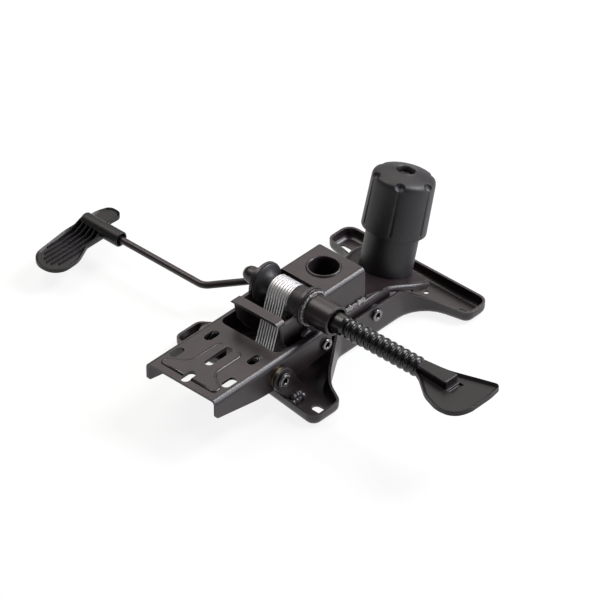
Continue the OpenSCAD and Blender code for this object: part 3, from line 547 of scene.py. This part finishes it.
@dataclass(frozen=True)
class Coil:
    """A helical spring of round wire, with one closed turn at each end."""

    foot: Vector
    axis: Vector
    start: Vector
    radius: float
    wire: float
    low: float
    high: float
    turns: float
    steps: int = 28
    sides: int = 12

    def wind(self) -> BMesh:
        """Wind the wire.

        Returns:
            The mesh of the spring, with closed ends.
        """
        shape = bmesh.new()
        side = self.start.normalized()
        middle = self.foot + self.axis * self.low + side * self.radius
        frame_of_wire = Matrix((side, self.axis, side.cross(self.axis))).transposed().to_4x4()
        first = bmesh.ops.create_circle(shape, cap_ends=True, segments=self.sides, radius=self.wire,
                                        matrix=Matrix.Translation(middle) @ frame_of_wire)["verts"]
        geom = first + list({edge for vert in first for edge in vert.link_edges})
        # A closed turn rises by hardly more than the thickness of the wire.
        closed = 2.02 * self.wire
        rest = (self.high - self.low - 2 * closed) / (self.turns - 2)
        for turns, rise in ((1.0, closed), (self.turns - 2, rest), (1.0, closed)):
            steps = round(self.steps * turns)
            made = bmesh.ops.spin(shape, geom=geom, cent=self.foot, axis=self.axis, angle=2 * math.pi * turns,
                                  steps=steps, dvec=self.axis * (rise * turns / steps))
            geom = [item for item in made["geom_last"] if not isinstance(item, BMFace)]
        close_ends(shape)
        return shape


def rolled_rims(name: str, body: str, nodes: dict[str, tuple[float, float]]) -> None:
    """Add the bright rolled rim to both ends of pivot pins.

    Args:
        name: Name of the piece.
        body: Body that carries the pins.
        nodes: Pin solids with the inner and outer radius of their rims.
    """
    shape = bmesh.new()
    crown, facets, steps = 0.8 * MM, 8, 40
    turns = [math.pi * i / facets for i in range(facets + 1)]
    for node, (inner, outer) in nodes.items():
        low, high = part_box(node)
        for side in Side:
            face = high[0] if side is Side.RIGHT else low[0]
            centre = Vector((face, (low[1] + high[1]) / 2, (low[2] + high[2]) / 2))
            outline = [((inner + outer) / 2 + (outer - inner) / 2 * math.cos(a), crown * math.sin(a))
                       for a in turns]
            lathe(shape, outline, centre, AXIS_X * side.value, steps)
    keep_piece(name, shape, body, ROLLED_STEEL)


def per_node(**values: object) -> dict:
    """Return a dataclass field that holds a value for each of some solids."""
    return field(default_factory=lambda: dict(values))


@dataclass
class SubAssembly:
    """Solids that are dressed together, with the rounding of their edges in millimetres."""

    body: str
    edges: dict[str, float]
    finishes: dict[str, Finish] = field(default_factory=dict)
    merge_mm: dict[str, float] = field(default_factory=dict)

    def build(self) -> None:
        """Make the pieces that the solids lack."""

    def dress(self) -> None:
        """Round the edges of the solids and put their finishes on."""
        slots = {row["node"]: row["material_slot"] for row in frame["record"]["subparts"]}
        for node, width_mm in self.edges.items():
            obj = soften(node, width_mm, self.merge_mm.get(node, MERGE_MM))
            wear(obj, self.finishes.get(node, SLOT_FINISH[slots[node]]))
            LOG.info("dressed %s", node)


@dataclass
class Housing(SubAssembly):
    """Welded box, cradle and gas socket, with the pins that the pan and the bracket swing on."""

    body: str = "housing"
    edges: dict[str, float] = per_node(
        housing_box=1.3, housing_cradle=1.8, gas_socket=0.5, front_axle=0.4, rear_pins=0.4,
        rear_spacers=0.3, lever_bush=0.4,
    )
    finishes: dict[str, Finish] = per_node(front_axle=PHOSPHATE, rear_pins=PHOSPHATE)
    merge_mm: dict[str, float] = per_node(housing_box=0.25, housing_cradle=0.25)
    seam_from: float = -24 * MM
    seam_to: float = 12 * MM
    seam_out: float = 31.0 * MM
    seam_up: float = 46.2 * MM
    seam_bead: Bead = Bead(1.7 * MM, 1.6 * MM, 2.8 * MM, 2.3 * MM, 0.22)
    shoulder_radius: float = 3.4 * MM
    shoulder_path: Triples = (
        (30.25, -32.0, 41.25), (30.25, 20.0, 41.25), (30.25, 34.0, 40.9), (28.6, 46.0, 37.6),
        (40.2, 75.0, 29.7), (40.3, 87.5, 26.2),
    )
    socket_rim: Profile = (
        (14.3, -0.6), (14.3, 0.2), (14.8, 0.75), (15.6, 0.95), (16.4, 0.75), (16.9, 0.2), (16.9, -0.6),
    )
    pin_rim: tuple[float, float] = (2.7 * MM, 6.1 * MM)

    def build(self) -> None:
        """Lay the welds, form the rolled shoulders and the socket rim, and roll the pin ends."""
        shape = bmesh.new()
        for side in Side:
            start = Vector((side.value * self.seam_out, self.seam_from, self.seam_up))
            end = Vector((side.value * self.seam_out, self.seam_to, self.seam_up))
            self.seam_bead.lay(shape, straight(start, end, self.seam_bead.pitch))
        # The seam welds carry bright specks painted in as glints.
        self.seam_bead.run_together(keep_piece("seam_welds", shape, self.body, WELD_PAINTED_GLINTS))
        shape = bmesh.new()
        for side in Side:
            path = [Vector((side.value * x, y, z)) * MM for x, y, z in self.shoulder_path]
            tube_along(shape, eased(path), self.shoulder_radius)
        keep_piece("cradle_shoulders", shape, self.body, POWDER_COAT)
        low, high = (Vector(corner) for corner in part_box("gas_socket"))
        shape = bmesh.new()
        lathe(shape, metres(self.socket_rim), Vector((0.0, (low.y + high.y) / 2, high.z)), AXIS_Z)
        keep_piece("socket_rim", shape, self.body, POWDER_COAT)
        rolled_rims("housing_pin_rims", self.body, {"front_axle": self.pin_rim, "rear_pins": self.pin_rim})


@dataclass
class Clamp(SubAssembly):
    """Friction stack on the clamp bolt, with its sleeve, collars and return spring."""

    body: str = "housing"
    edges: dict[str, float] = per_node(
        clamp_sleeve=0.7, clamp_nut=0.6, clamp_bolt=0.3, fixed_discs=0.15, clamp_plates=0.2,
        plate_lugs=0.5, plate_pin=0.3, spring_stud=0.2,
    )
    sleeve_weld: Bead = Bead(1.7 * MM, 1.3 * MM, 1.3 * MM, 2.2 * MM)
    weld_out: float = 32.9 * MM
    weld_radius: float = 16.6 * MM
    spring_radius: float = 4.6 * MM
    spring_wire: float = 0.65 * MM
    spring_turns: float = 3.0
    saucer: Profile = (
        (5.02, 0.0), (19.0, 0.0), (19.6, 0.6), (19.5, 1.4), (18.6, 2.1), (16.2, 2.9), (13.8, 4.1),
        (11.8, 5.9), (10.5, 8.3), (9.8, 11.4), (9.6, 14.8), (5.02, 14.8),
    )
    collar: Profile = (
        (5.02, 0.0), (14.4, 0.0), (14.8, 0.2), (15.0, 0.6), (15.0, 14.2), (14.8, 14.6), (14.4, 14.8),
        (5.02, 14.8),
    )
    dome: Profile = (
        (5.02, 0.0), (14.8, 0.0), (15.3, 0.5), (15.2, 1.4), (13.8, 3.0), (11.6, 4.9), (10.6, 5.9),
        (5.02, 6.0),
    )

    def _turned(self, name: str, slot: str, finish: Finish, node: str,
                parts: list[tuple[Profile, float, Vector]]) -> None:
        """Turn a piece on the clamp axis.

        Args:
            name: Name of the piece.
            slot: Its material slot, which is not used.
            finish: Its finish.
            node: The solid that it stands for.
            parts: Profile, start along X and direction of each turned form.
        """
        axle = joint_place("lock_turn")
        shape = bmesh.new()
        for profile, start, axis in parts:
            lathe(shape, metres(profile), Vector((start, axle.y, axle.z)), axis)
        keep_piece(name, shape, self.body, finish, (node,))

    def build(self) -> None:
        """Turn the collars and the dome washer, lay the weld round the sleeve and wind the return spring."""
        axle = joint_place("lock_turn")
        left, right = (corner[0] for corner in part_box("clamp_collars"))
        self._turned("dished_collars", "satin_plastic", NYLON, "clamp_collars",
                     [(self.saucer, left, AXIS_X), (self.collar, right, -AXIS_X)])
        self._turned("dome_washer", "powder_black", POWDER_COAT, "clamp_flange",
                     [(self.dome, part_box("clamp_flange")[1][0], -AXIS_X)])
        shape = bmesh.new()
        centre = Vector((self.weld_out, axle.y, axle.z))
        self.sleeve_weld.lay(shape, circle_path(centre, self.weld_radius, self.sleeve_weld.pitch))
        # The sleeve weld carries bright specks painted in as glints.
        self.sleeve_weld.run_together(keep_piece("sleeve_weld", shape, self.body, WELD_PAINTED_GLINTS))
        low, high = (Vector(corner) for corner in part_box("return_spring"))
        middle = (low + high) / 2
        coil = Coil(Vector((0.0, middle.y, middle.z)), AXIS_X, -AXIS_Z, self.spring_radius,
                    self.spring_wire, low.x + self.spring_wire, high.x - self.spring_wire, self.spring_turns)
        keep_piece("return_coil", coil.wind(), self.body, SPRING_WIRE, ("return_spring",))


@dataclass
class SeatPan(SubAssembly):
    """Pressed pan with its pivot ears and anchors."""

    body: str = "seat_pan"
    edges: dict[str, float] = per_node(
        seat_pan=0.7, pan_bushes=0.3, pivot_ears=0.8, link_pins=0.4, link_washers=0.25,
        bolt_lugs=0.5, bolt_pin=0.3,
    )
    finishes: dict[str, Finish] = per_node(link_pins=PHOSPHATE)
    foot_bead: Bead = Bead(4.4 * MM, 3.6 * MM, 3.6 * MM, 4.2 * MM, 0.12)
    foot_rows: Triples = ((1.6, 3.4, -1.5), (0.2, 7.2, 1.5), (-4.4, 3.4, 0.5))
    pin_rim: tuple[float, float] = (2.6 * MM, 6.6 * MM)

    def build(self) -> None:
        """Lay the welds at the foot of the ears and roll the link pins."""
        shape = bmesh.new()
        low, high = (Vector(corner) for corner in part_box("ear_welds"))
        ear_low, ear_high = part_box("pivot_ears")
        for side in Side:
            face = ear_high[0] if side is Side.RIGHT else ear_low[0]
            for offset, rise, inset in self.foot_rows:
                out = face + side.value * offset * MM
                start = Vector((out, low.y + inset * MM, low.z + rise * MM))
                end = Vector((out, high.y - inset * MM, low.z + rise * MM))
                self.foot_bead.lay(shape, straight(start, end, self.foot_bead.pitch))
        foot = keep_piece("ear_foot_welds", shape, self.body, WELD_COAT, ("ear_welds",))
        self.foot_bead.run_together(foot)
        rolled_rims("link_pin_rims", self.body, {"link_pins": self.pin_rim})


@dataclass
class BackBracket(SubAssembly):
    """Pressed bracket that carries the backrest."""

    body: str = "back_bracket"
    edges: dict[str, float] = per_node(back_bracket=0.6, back_bushes=0.3)
    merge_mm: dict[str, float] = per_node(back_bracket=0.2)
    panel: Triples = (
        (-33.0, -195.5, 3.0), (33.0, -195.5, 3.0), (33.0, -188.5, 4.0), (14.0, -176.5, 14.0),
        (14.0, -138.0, 6.0), (-14.0, -138.0, 6.0), (-14.0, -176.5, 14.0), (-33.0, -188.5, 4.0),
    )
    panel_level: float = 54.5 * MM
    ridge: float = 1.8 * MM
    slot_half: float = 4.9 * MM

    def build(self) -> None:
        """Raise the soft ridge that the press draws along both sides of the panel."""
        flat = bmesh.new()
        face = rounded_face(flat, [(x * MM, y * MM, r * MM) for x, y, r in self.panel], self.panel_level)
        ring = [loop.vert.co.copy() for loop in face.loops]
        flat.free()
        shape = bmesh.new()
        foot, head = min(p.y for p in ring), max(p.y for p in ring)
        for side in Side:
            half = [p for p in ring if side.value * p.x > 0 and p.y < head - LEVEL]
            # The ridge begins on the foot, at the point nearest to the middle, and climbs the side.
            near = min(range(len(half)), key=lambda i: (half[i].y - foot > LEVEL, abs(half[i].x)))
            half = half[near:] + half[:near]
            if half[1].y >= half[-1].y:
                half = half[:1] + half[:0:-1]
            start = Vector((side.value * self.slot_half, foot, self.panel_level))
            tube_along(shape, [start, *half], self.ridge)
        keep_piece("panel_ridges", shape, self.body, POWDER_COAT)


@dataclass
class LockHandle(SubAssembly):
    """Handle that works the clamp: glossy nose, ribbed grip and paddle."""

    body: str = "lock_handle"
    edges: dict[str, float] = per_node(lock_hub=0.6, lock_rod=0.3)
    finishes: dict[str, Finish] = per_node(lock_rod=PHOSPHATE)
    ribs: int = 11
    rib_depth: float = 3.4 * MM
    rib_share: float = 0.8
    bore: float = 4.02 * MM
    samples: int = 20
    grip_steps: int = 96
    grip_end: float = 164.0 * MM
    blade: Triples = (
        (164.4, -8.6, 4.2), (174.0, -13.5, 14.0), (194.0, -28.5, 30.0), (213.0, -35.0, 24.0),
        (231.0, -33.0, 16.0), (239.0, -18.0, 26.0), (239.0, 12.0, 60.0), (236.5, 28.5, 5.0),
        (215.0, 21.5, 50.0), (190.0, 13.0, 40.0), (164.4, 8.6, 4.2),
    )
    blade_foot: float = -2.6 * MM
    blade_thick: float = 6.1 * MM
    blade_rim: float = 3.4 * MM
    blade_dish: float = 3.6 * MM
    blade_round: float = 0.9 * MM
    slot_near: float = 204.2 * MM
    slot_far: float = 209.0 * MM
    slot_half: float = 8.0 * MM
    slot_deep: float = 2.1 * MM
    slot_flat_deg: float = 0.5
    # Both ends of the socket: X, half width, foot and head.
    socket: tuple[tuple[float, ...], ...] = ((164.6, 5.8, -6.0, 7.4), (202.0, 8.8, -2.0, 8.2))
    socket_round: float = 1.5 * MM

    def build(self) -> None:
        """Turn the ribbed grip and mould the paddle."""
        self._grip()
        self._paddle()

    def _paddle(self) -> None:
        """Mould the dished paddle, cut its slot and set the socket of the rod on it."""
        axle = joint_place("lock_turn")
        shape = bmesh.new()
        corners = [(x * MM, axle.y + y * MM, r * MM) for x, y, r in self.blade]
        foot = axle.z + self.blade_foot
        dished_plate(shape, corners, foot, self.blade_thick, self.blade_rim, self.blade_dish)
        self._sink_slot(shape, Vector((0.0, axle.y, foot + self.blade_thick - self.blade_dish)))
        round_edges(shape, self.blade_round, 4)
        socket = bmesh.ops.create_cube(shape, size=1.0)["verts"]
        for vert in socket:
            x, wide, low, high = self.socket[0] if vert.co.x < 0 else self.socket[1]
            vert.co = Vector((x * MM, axle.y + math.copysign(wide, vert.co.y) * MM,
                              axle.z + (low if vert.co.z < 0 else high) * MM))
        edges = list({edge for vert in socket for edge in vert.link_edges})
        bmesh.ops.bevel(shape, geom=edges, offset=self.socket_round, segments=3, profile=0.5,
                        affect="EDGES", material=-1)
        paddle = keep_piece("handle_paddle", shape, self.body, SMOOTH_NYLON,
                            ("lock_paddle",))
        even_shading(paddle)

    def _sink_slot(self, shape: BMesh, middle: Vector) -> None:
        """Sink the slot into the floor of the paddle.

        Args:
            shape: The mesh of the paddle.
            middle: Point that gives the slot's middle across and the floor's height.
        """
        for normal, at in ((AXIS_X, self.slot_near), (AXIS_X, self.slot_far),
                           (AXIS_Y, middle.y - self.slot_half), (AXIS_Y, middle.y + self.slot_half)):
            geom = shape.verts[:] + shape.edges[:] + shape.faces[:]
            bmesh.ops.bisect_plane(shape, geom=geom, plane_co=normal * at, plane_no=normal)
        inside = []
        for face in shape.faces:
            spot = face.calc_center_median()
            if (self.slot_near < spot.x < self.slot_far and abs(spot.y - middle.y) < self.slot_half
                    and abs(spot.z - middle.z) < LEVEL):
                inside.append(face)
        sunk = bmesh.ops.extrude_face_region(shape, geom=inside)["geom"]
        bmesh.ops.translate(shape, verts=only_verts(sunk), vec=AXIS_Z * -self.slot_deep)
        bmesh.ops.delete(shape, geom=[face for face in inside if face.is_valid], context="FACES")
        bmesh.ops.dissolve_limit(shape, angle_limit=math.radians(self.slot_flat_deg),
                                 verts=shape.verts[:], edges=shape.edges[:])

    def _grip(self) -> None:
        """Turn the ribbed grip."""
        low, high = (Vector(corner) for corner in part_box("lock_grip"))
        high.x = self.grip_end
        axle = joint_place("lock_turn")
        radius = (high.z - low.z) / 2
        count = self.ribs * self.samples
        outline = [(self.bore, 0.0)]
        for i in range(count + 1):
            across = min(1.0, abs(2 * (i % self.samples) / self.samples - 1) / self.rib_share)
            dip = 1 - math.sqrt(1 - across * across)
            outline.append((radius - self.rib_depth * dip, (high.x - low.x) * i / count))
        outline.append((self.bore, high.x - low.x))
        shape = bmesh.new()
        lathe(shape, outline, Vector((low.x, axle.y, axle.z)), AXIS_X, self.grip_steps)
        keep_piece("ribbed_grip", shape, self.body, POLYPROPYLENE, ("lock_grip",))


@dataclass
class GasLever(SubAssembly):
    """Lever that opens the gas lift."""

    body: str = "gas_lever"
    edges: dict[str, float] = per_node(gas_rod=0.2)
    end: float = -271.0
    run: float = -61.5
    level: float = 21.0
    outline: Triples = (
        (0.0, 22.0, 24.0), (0.0, -22.0, 60.0), (6.5, -76.5, 19.5), (44.5, -76.5, 17.0), (43.0, -45.0, 30.0),
        (31.0, -19.0, 24.0), (29.5, 4.0, 8.0), (21.5, 16.0, 12.0), (23.0, 36.0, 8.0), (5.0, 36.0, 8.0),
    )
    thick: float = 5.0
    rim_wide: float = 2.4
    rim_high: float = 2.4
    edge_round: float = 0.75
    fins: int = 6
    fin_from: float = 5.5
    fin_pitch: float = 5.4
    fin_thick: float = 1.3
    fin_low: float = -69.0
    fin_bow: float = 1.7
    fin_longest: float = 3.2
    stem_radius: float = 7.75
    stem_from: float = 6.0
    stem_long: float = 49.0
    stem_wall: float = 1.8
    stem_mouth: float = 9.0
    stem_cap: float = 8.0
    rod_bore: float = 3.52
    stem_steps: int = 48

    def build(self) -> None:
        """Make the ribbed blade with its stem tube."""
        shape = bmesh.new()
        corners = [((self.end + x) * MM, (self.run + y) * MM, r * MM) for x, y, r in self.outline]
        dished_plate(shape, corners, self.level * MM, self.thick * MM, self.rim_wide * MM, self.rim_high * MM)
        round_edges(shape, self.edge_round * MM)
        for i in range(self.fins):
            self._fin(shape, i)
        length, radius = self.stem_long, self.stem_radius
        inner, mouth = radius - self.stem_wall, length - self.stem_mouth
        stem = [(0.0, 0.0), (radius - 1.6, 0.0), (radius - 0.5, 0.5), (radius, 1.6), (radius, length - 0.8),
                (radius - 0.6, length), (radius - 1.5, length), (inner, length - 0.5), (inner, mouth),
                (self.rod_bore, mouth), (self.rod_bore, self.stem_cap), (0.0, self.stem_cap)]
        low, high = (Vector(corner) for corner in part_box("gas_rod"))
        start = Vector(((self.end + self.stem_from) * MM, self.run * MM, (low.z + high.z) / 2))
        lathe(shape, metres(stem), start, AXIS_X, self.stem_steps)
        blade = keep_piece("lever_blade", shape, self.body, SMOOTH_NYLON, ("gas_paddle",))
        even_shading(blade)

    def _fin(self, shape: BMesh, i: int) -> None:
        """Raise one fin from the end of the blade to the stem.

        Args:
            shape: The mesh of the lever blade.
            i: Number of the fin, from the outer edge.
        """
        x = (self.end + self.fin_from + self.fin_pitch * i) * MM
        low = self.fin_low + self.fin_bow * (i - self.fin_longest) ** 2
        knee = -12.0 - 1.5 * (self.fins - i)
        side = [(low, 1.0), (0.0, 1.0), (0.0, 14.5), (-6.0, 13.0), (knee, 7.0), (-38.0, 4.4),
                (low + 1.0, 4.0)]
        ring = [shape.verts.new((x, (self.run + y) * MM, (self.level + z) * MM)) for y, z in side]
        made = bmesh.ops.extrude_face_region(shape, geom=[shape.faces.new(ring)], use_keep_orig=True)["geom"]
        bmesh.ops.translate(shape, verts=only_verts(made), vec=AXIS_X * self.fin_thick * MM)


@dataclass
class TensionKnob(SubAssembly):
    """Spring cup, tension spring and hand knob on the leaning axis."""

    body: str = "housing"
    edges: dict[str, float] = per_node(
        spring_cup=0.6, tension_bolt=0.3, thrust_washer=0.3, knob_insert=0.3,
    )
    # The bolt and the insert deep in the knob's hole take the dark phosphate, which paints the shade inside
    # the hole.
    finishes: dict[str, Finish] = per_node(tension_bolt=PHOSPHATE, knob_insert=PHOSPHATE)
    coil_radius: float = 18.0 * MM
    wire: float = 2.75 * MM
    low: float = 5.3 * MM
    high: float = 77.2 * MM
    turns: float = 7.0
    knob_radius: float = 31.4
    knob_bore: float = 26.8
    knob_low: float = 41.5
    knob_high: float = 103.0
    knob_shoulder: float = 92.0
    knob_hole: float = 9.2
    knob_ledge: float = 86.1
    knob_seat: float = 83.0
    insert_radius: float = 14.02
    grooves: int = 6
    groove_phase_deg: float = 2.0
    groove_radius: float = 1.8
    groove_out: float = 0.35
    groove_from: float = 5.5
    groove_past: float = 3.0
    scallop_radius: float = 6.0
    scallop_in: float = 0.2
    scallop_up: float = 5.6
    side_rows: int = 30
    side_draft: float = 0.8
    knob_steps: int = 360

    def build(self) -> None:
        """Mould the knob and wind the tension spring."""
        axis = Vector(joint("knob_turn")["axis"]).normalized()
        foot = joint_place("knob_turn")
        self._knob(foot, axis)
        self._spring(foot, axis)

    def _spring(self, foot: Vector, axis: Vector) -> None:
        """Wind the spring and cut it at its middle into a lower and an upper length.

        Args:
            foot: Foot of the spring's axis.
            axis: Direction of the axis.
        """
        low, high = foot + axis * self.low, foot + axis * self.high
        middle = (low + high) / 2
        for name, below, above, start, end in (("lower_coil", "housing", "tension_bolt", low, middle),
                                               ("upper_coil", "tension_bolt", "thrust_washer", middle, high)):
            coil = Coil(foot, axis, AXIS_X, self.coil_radius, self.wire, self.low, self.high, self.turns)
            shape = coil.wind()
            geom = shape.verts[:] + shape.edges[:] + shape.faces[:]
            bmesh.ops.bisect_plane(shape, geom=geom, plane_co=middle, plane_no=axis,
                                   clear_outer=below == "housing", clear_inner=below != "housing")
            close_ends(shape)
            spring = keep_piece(name, shape, "", SPRING_WIRE, ("tension_spring",))
            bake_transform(spring)

    def _knob(self, foot: Vector, axis: Vector) -> None:
        """Mould the hollow knob, then press the grooves and scallops into it.

        Args:
            foot: Foot of the knob's axis.
            axis: Direction of the knob's axis.
        """
        r, shoulder = self.knob_radius, self.knob_shoulder
        rows = [i / self.side_rows for i in range(self.side_rows + 1)]
        side = [(r - self.side_draft * share, self.knob_low + 1.0 + (shoulder - 2.0 - self.knob_low) * share)
                for share in rows]
        crown = eased([Vector(point) for point in (
            (r - self.side_draft, shoulder - 0.5), (r - 1.3, shoulder + 3.2), (r - 3.8, shoulder + 5.6),
            (r - 9.2, shoulder + 7.5), (self.knob_hole + 3.0, self.knob_high - 1.3),
            (self.knob_hole + 1.0, self.knob_high - 0.3), (self.knob_hole, self.knob_high - 1.2))])
        outline = [(self.knob_bore, self.knob_low), (r - 0.7, self.knob_low), (r - 0.1, self.knob_low + 0.4)]
        outline += side + [(point.x, point.y) for point in crown]
        outline += [(self.knob_hole, self.knob_ledge), (self.insert_radius, self.knob_ledge),
                    (self.insert_radius, self.knob_seat), (self.knob_bore, self.knob_seat)]
        shape = bmesh.new()
        lathe(shape, metres(outline), foot, axis, self.knob_steps)
        across = axis.cross(AXIS_X).normalized()
        for i in range(self.grooves):
            a = 2 * math.pi * i / self.grooves + math.radians(self.groove_phase_deg)
            out = AXIS_X * math.cos(a) + across * math.sin(a)
            line = foot + out * (r + self.groove_out) * MM
            start = line + axis * (self.knob_low + self.groove_from) * MM
            end = line + axis * (shoulder + self.groove_past) * MM
            dent = foot + out * (r - self.scallop_in) * MM + axis * (shoulder + self.scallop_up) * MM
            self._press(shape, start, end, self.groove_radius * MM)
            self._press(shape, dent, dent + axis * MM, self.scallop_radius * MM)
        keep_piece("grip_knob", shape, "tension_knob", NYLON, ("tension_knob",))

    def _press(self, shape: BMesh, start: Vector, end: Vector, radius: float) -> None:
        """Push the skin out of a round-ended bar, which leaves a groove or a dent.

        Args:
            shape: The mesh of the knob.
            start: One end of the bar's middle line.
            end: Other end of the line.
            radius: Radius of the bar.
        """
        run = end - start
        for vert in shape.verts:
            share = max(0.0, min(1.0, (vert.co - start).dot(run) / run.length_squared))
            near = start + run * share
            gap = (vert.co - near).length
            if gap < radius:
                vert.co = near + (vert.co - near) * (radius / gap)


@dataclass
class Studio:
    """Floor, light and camera of a white product photograph."""

    azimuth_deg: float = 42.7
    elevation_deg: float = 37.0
    distance: float = 4.685
    lens_mm: float = 300.0
    sensor_mm: float = 36.0
    sight: float = 100.0
    target: tuple[float, float, float] = (-0.0297, -0.0128, 0.0264)
    floor_size: float = 80.0
    fill: float = 0.12
    paper_glow: float = 0.85

    def axes(self) -> tuple[Vector, Vector, Vector]:
        """Return the camera's right, up and backward directions."""
        a, e = math.radians(self.azimuth_deg), math.radians(self.elevation_deg)
        right = Vector((math.cos(a), math.sin(a), 0.0))
        up = Vector((-math.sin(a) * math.sin(e), math.cos(a) * math.sin(e), math.cos(e)))
        return right, up, right.cross(up)

    def build(self) -> None:
        """Make the floor, the lamps, the world and the camera."""
        self._floor()
        self._world()
        right, up, back = self.axes()
        aim = Vector(self.target)
        self._lamp("back_left", aim + Vector((-1.0, 1.3, 1.4)), 1.4, 10.0, "#fff8f2")
        self._lamp("back_right", aim + Vector((0.6, 1.2, 1.5)), 0.8, 38.0, "#ffffff")
        self._lamp("front_left", aim + up * 1.5 + back * 0.5 - right * 0.7, 1.0, 14.0, "#fff8f2")
        self._lamp("side", aim + right * 1.7 + back * 0.6 + up * 0.6, 0.9, 20.0, "#eef1ff")
        data = bpy.data.cameras.new("camera")
        data.lens = self.lens_mm
        data.sensor_width = self.sensor_mm
        data.clip_end = self.sight
        camera = bpy.data.objects.new("camera", data)
        turn = Matrix((right, up, back)).transposed().to_4x4()
        camera.matrix_world = Matrix.Translation(aim + back * self.distance) @ turn
        bpy.context.scene.collection.objects.link(camera)
        bpy.context.scene.camera = camera
        bpy.context.scene.view_settings.view_transform = "Standard"

    def _lamp(self, name: str, at: Vector, size: float, power: float, colour: str) -> None:
        """Hang one softbox that looks at the object.

        Args:
            name: Name of the lamp.
            at: Place of the lamp.
            size: Width of the softbox.
            power: Power in watts.
            colour: Colour of its light.
        """
        data = bpy.data.lights.new(name, "AREA")
        data.size = size
        data.energy = power
        data.color = linear(colour)[:3]
        lamp = bpy.data.objects.new(name, data)
        lamp.location = at
        lamp.rotation_euler = (Vector(self.target) - at).to_track_quat("-Z", "Y").to_euler()
        bpy.context.scene.collection.objects.link(lamp)

    def _floor(self) -> None:
        """Lay the pale floor that keeps the object's soft shadow."""
        shape = bmesh.new()
        bmesh.ops.create_grid(shape, x_segments=1, y_segments=1, size=self.floor_size / 2)
        mesh = bpy.data.meshes.new("floor")
        shape.to_mesh(mesh)
        shape.free()
        floor = bpy.data.objects.new("floor", mesh)
        bpy.context.scene.collection.objects.link(floor)
        paint = bpy.data.materials.new("studio_paper")
        paint.use_nodes = True
        tree = paint.node_tree
        tree.nodes.clear()
        # The paper glows where it is seen straight, mirrored or through glass.
        rays = add(tree, "ShaderNodeLightPath").outputs
        seen = rays["Is Camera Ray"]
        for ray in ("Is Glossy Ray", "Is Transmission Ray"):
            seen = add(tree, "ShaderNodeMath", {0: seen, 1: rays[ray]}, operation="MAXIMUM").outputs["Value"]
        share = add(tree, "ShaderNodeMath", {0: seen, 1: self.paper_glow}, operation="MULTIPLY")
        paper = add(tree, "ShaderNodeBsdfDiffuse", {"Color": linear("#f4f4f4")})
        glow = add(tree, "ShaderNodeEmission", {"Color": linear("#ffffff"), "Strength": 1.0})
        both = add(tree, "ShaderNodeMixShader",
                   {0: share.outputs["Value"], 1: paper.outputs["BSDF"], 2: glow.outputs["Emission"]})
        add(tree, "ShaderNodeOutputMaterial", {"Surface": both.outputs["Shader"]})
        mesh.materials.append(paint)

    def _world(self) -> None:
        """Fill the room with plain white light."""
        world = bpy.data.worlds.new("studio")
        world.use_nodes = True
        tree = world.node_tree
        tree.nodes.clear()
        sky = add(tree, "ShaderNodeBackground", {"Color": linear("#ffffff"), "Strength": self.fill})
        add(tree, "ShaderNodeOutputWorld", {"Surface": sky.outputs["Background"]})
        bpy.context.scene.world = world


def main() -> None:
    """Build the studio, then build and dress the object, one sub-assembly after the other."""
    logging.basicConfig(level=logging.INFO, format="%(name)s: %(message)s")
    Studio().build()
    for group in (Housing(), Clamp(), SeatPan(), BackBracket(), LockHandle(), GasLever(), TensionKnob()):
        group.build()
        group.dress()


if __name__ == "__main__":
    main()
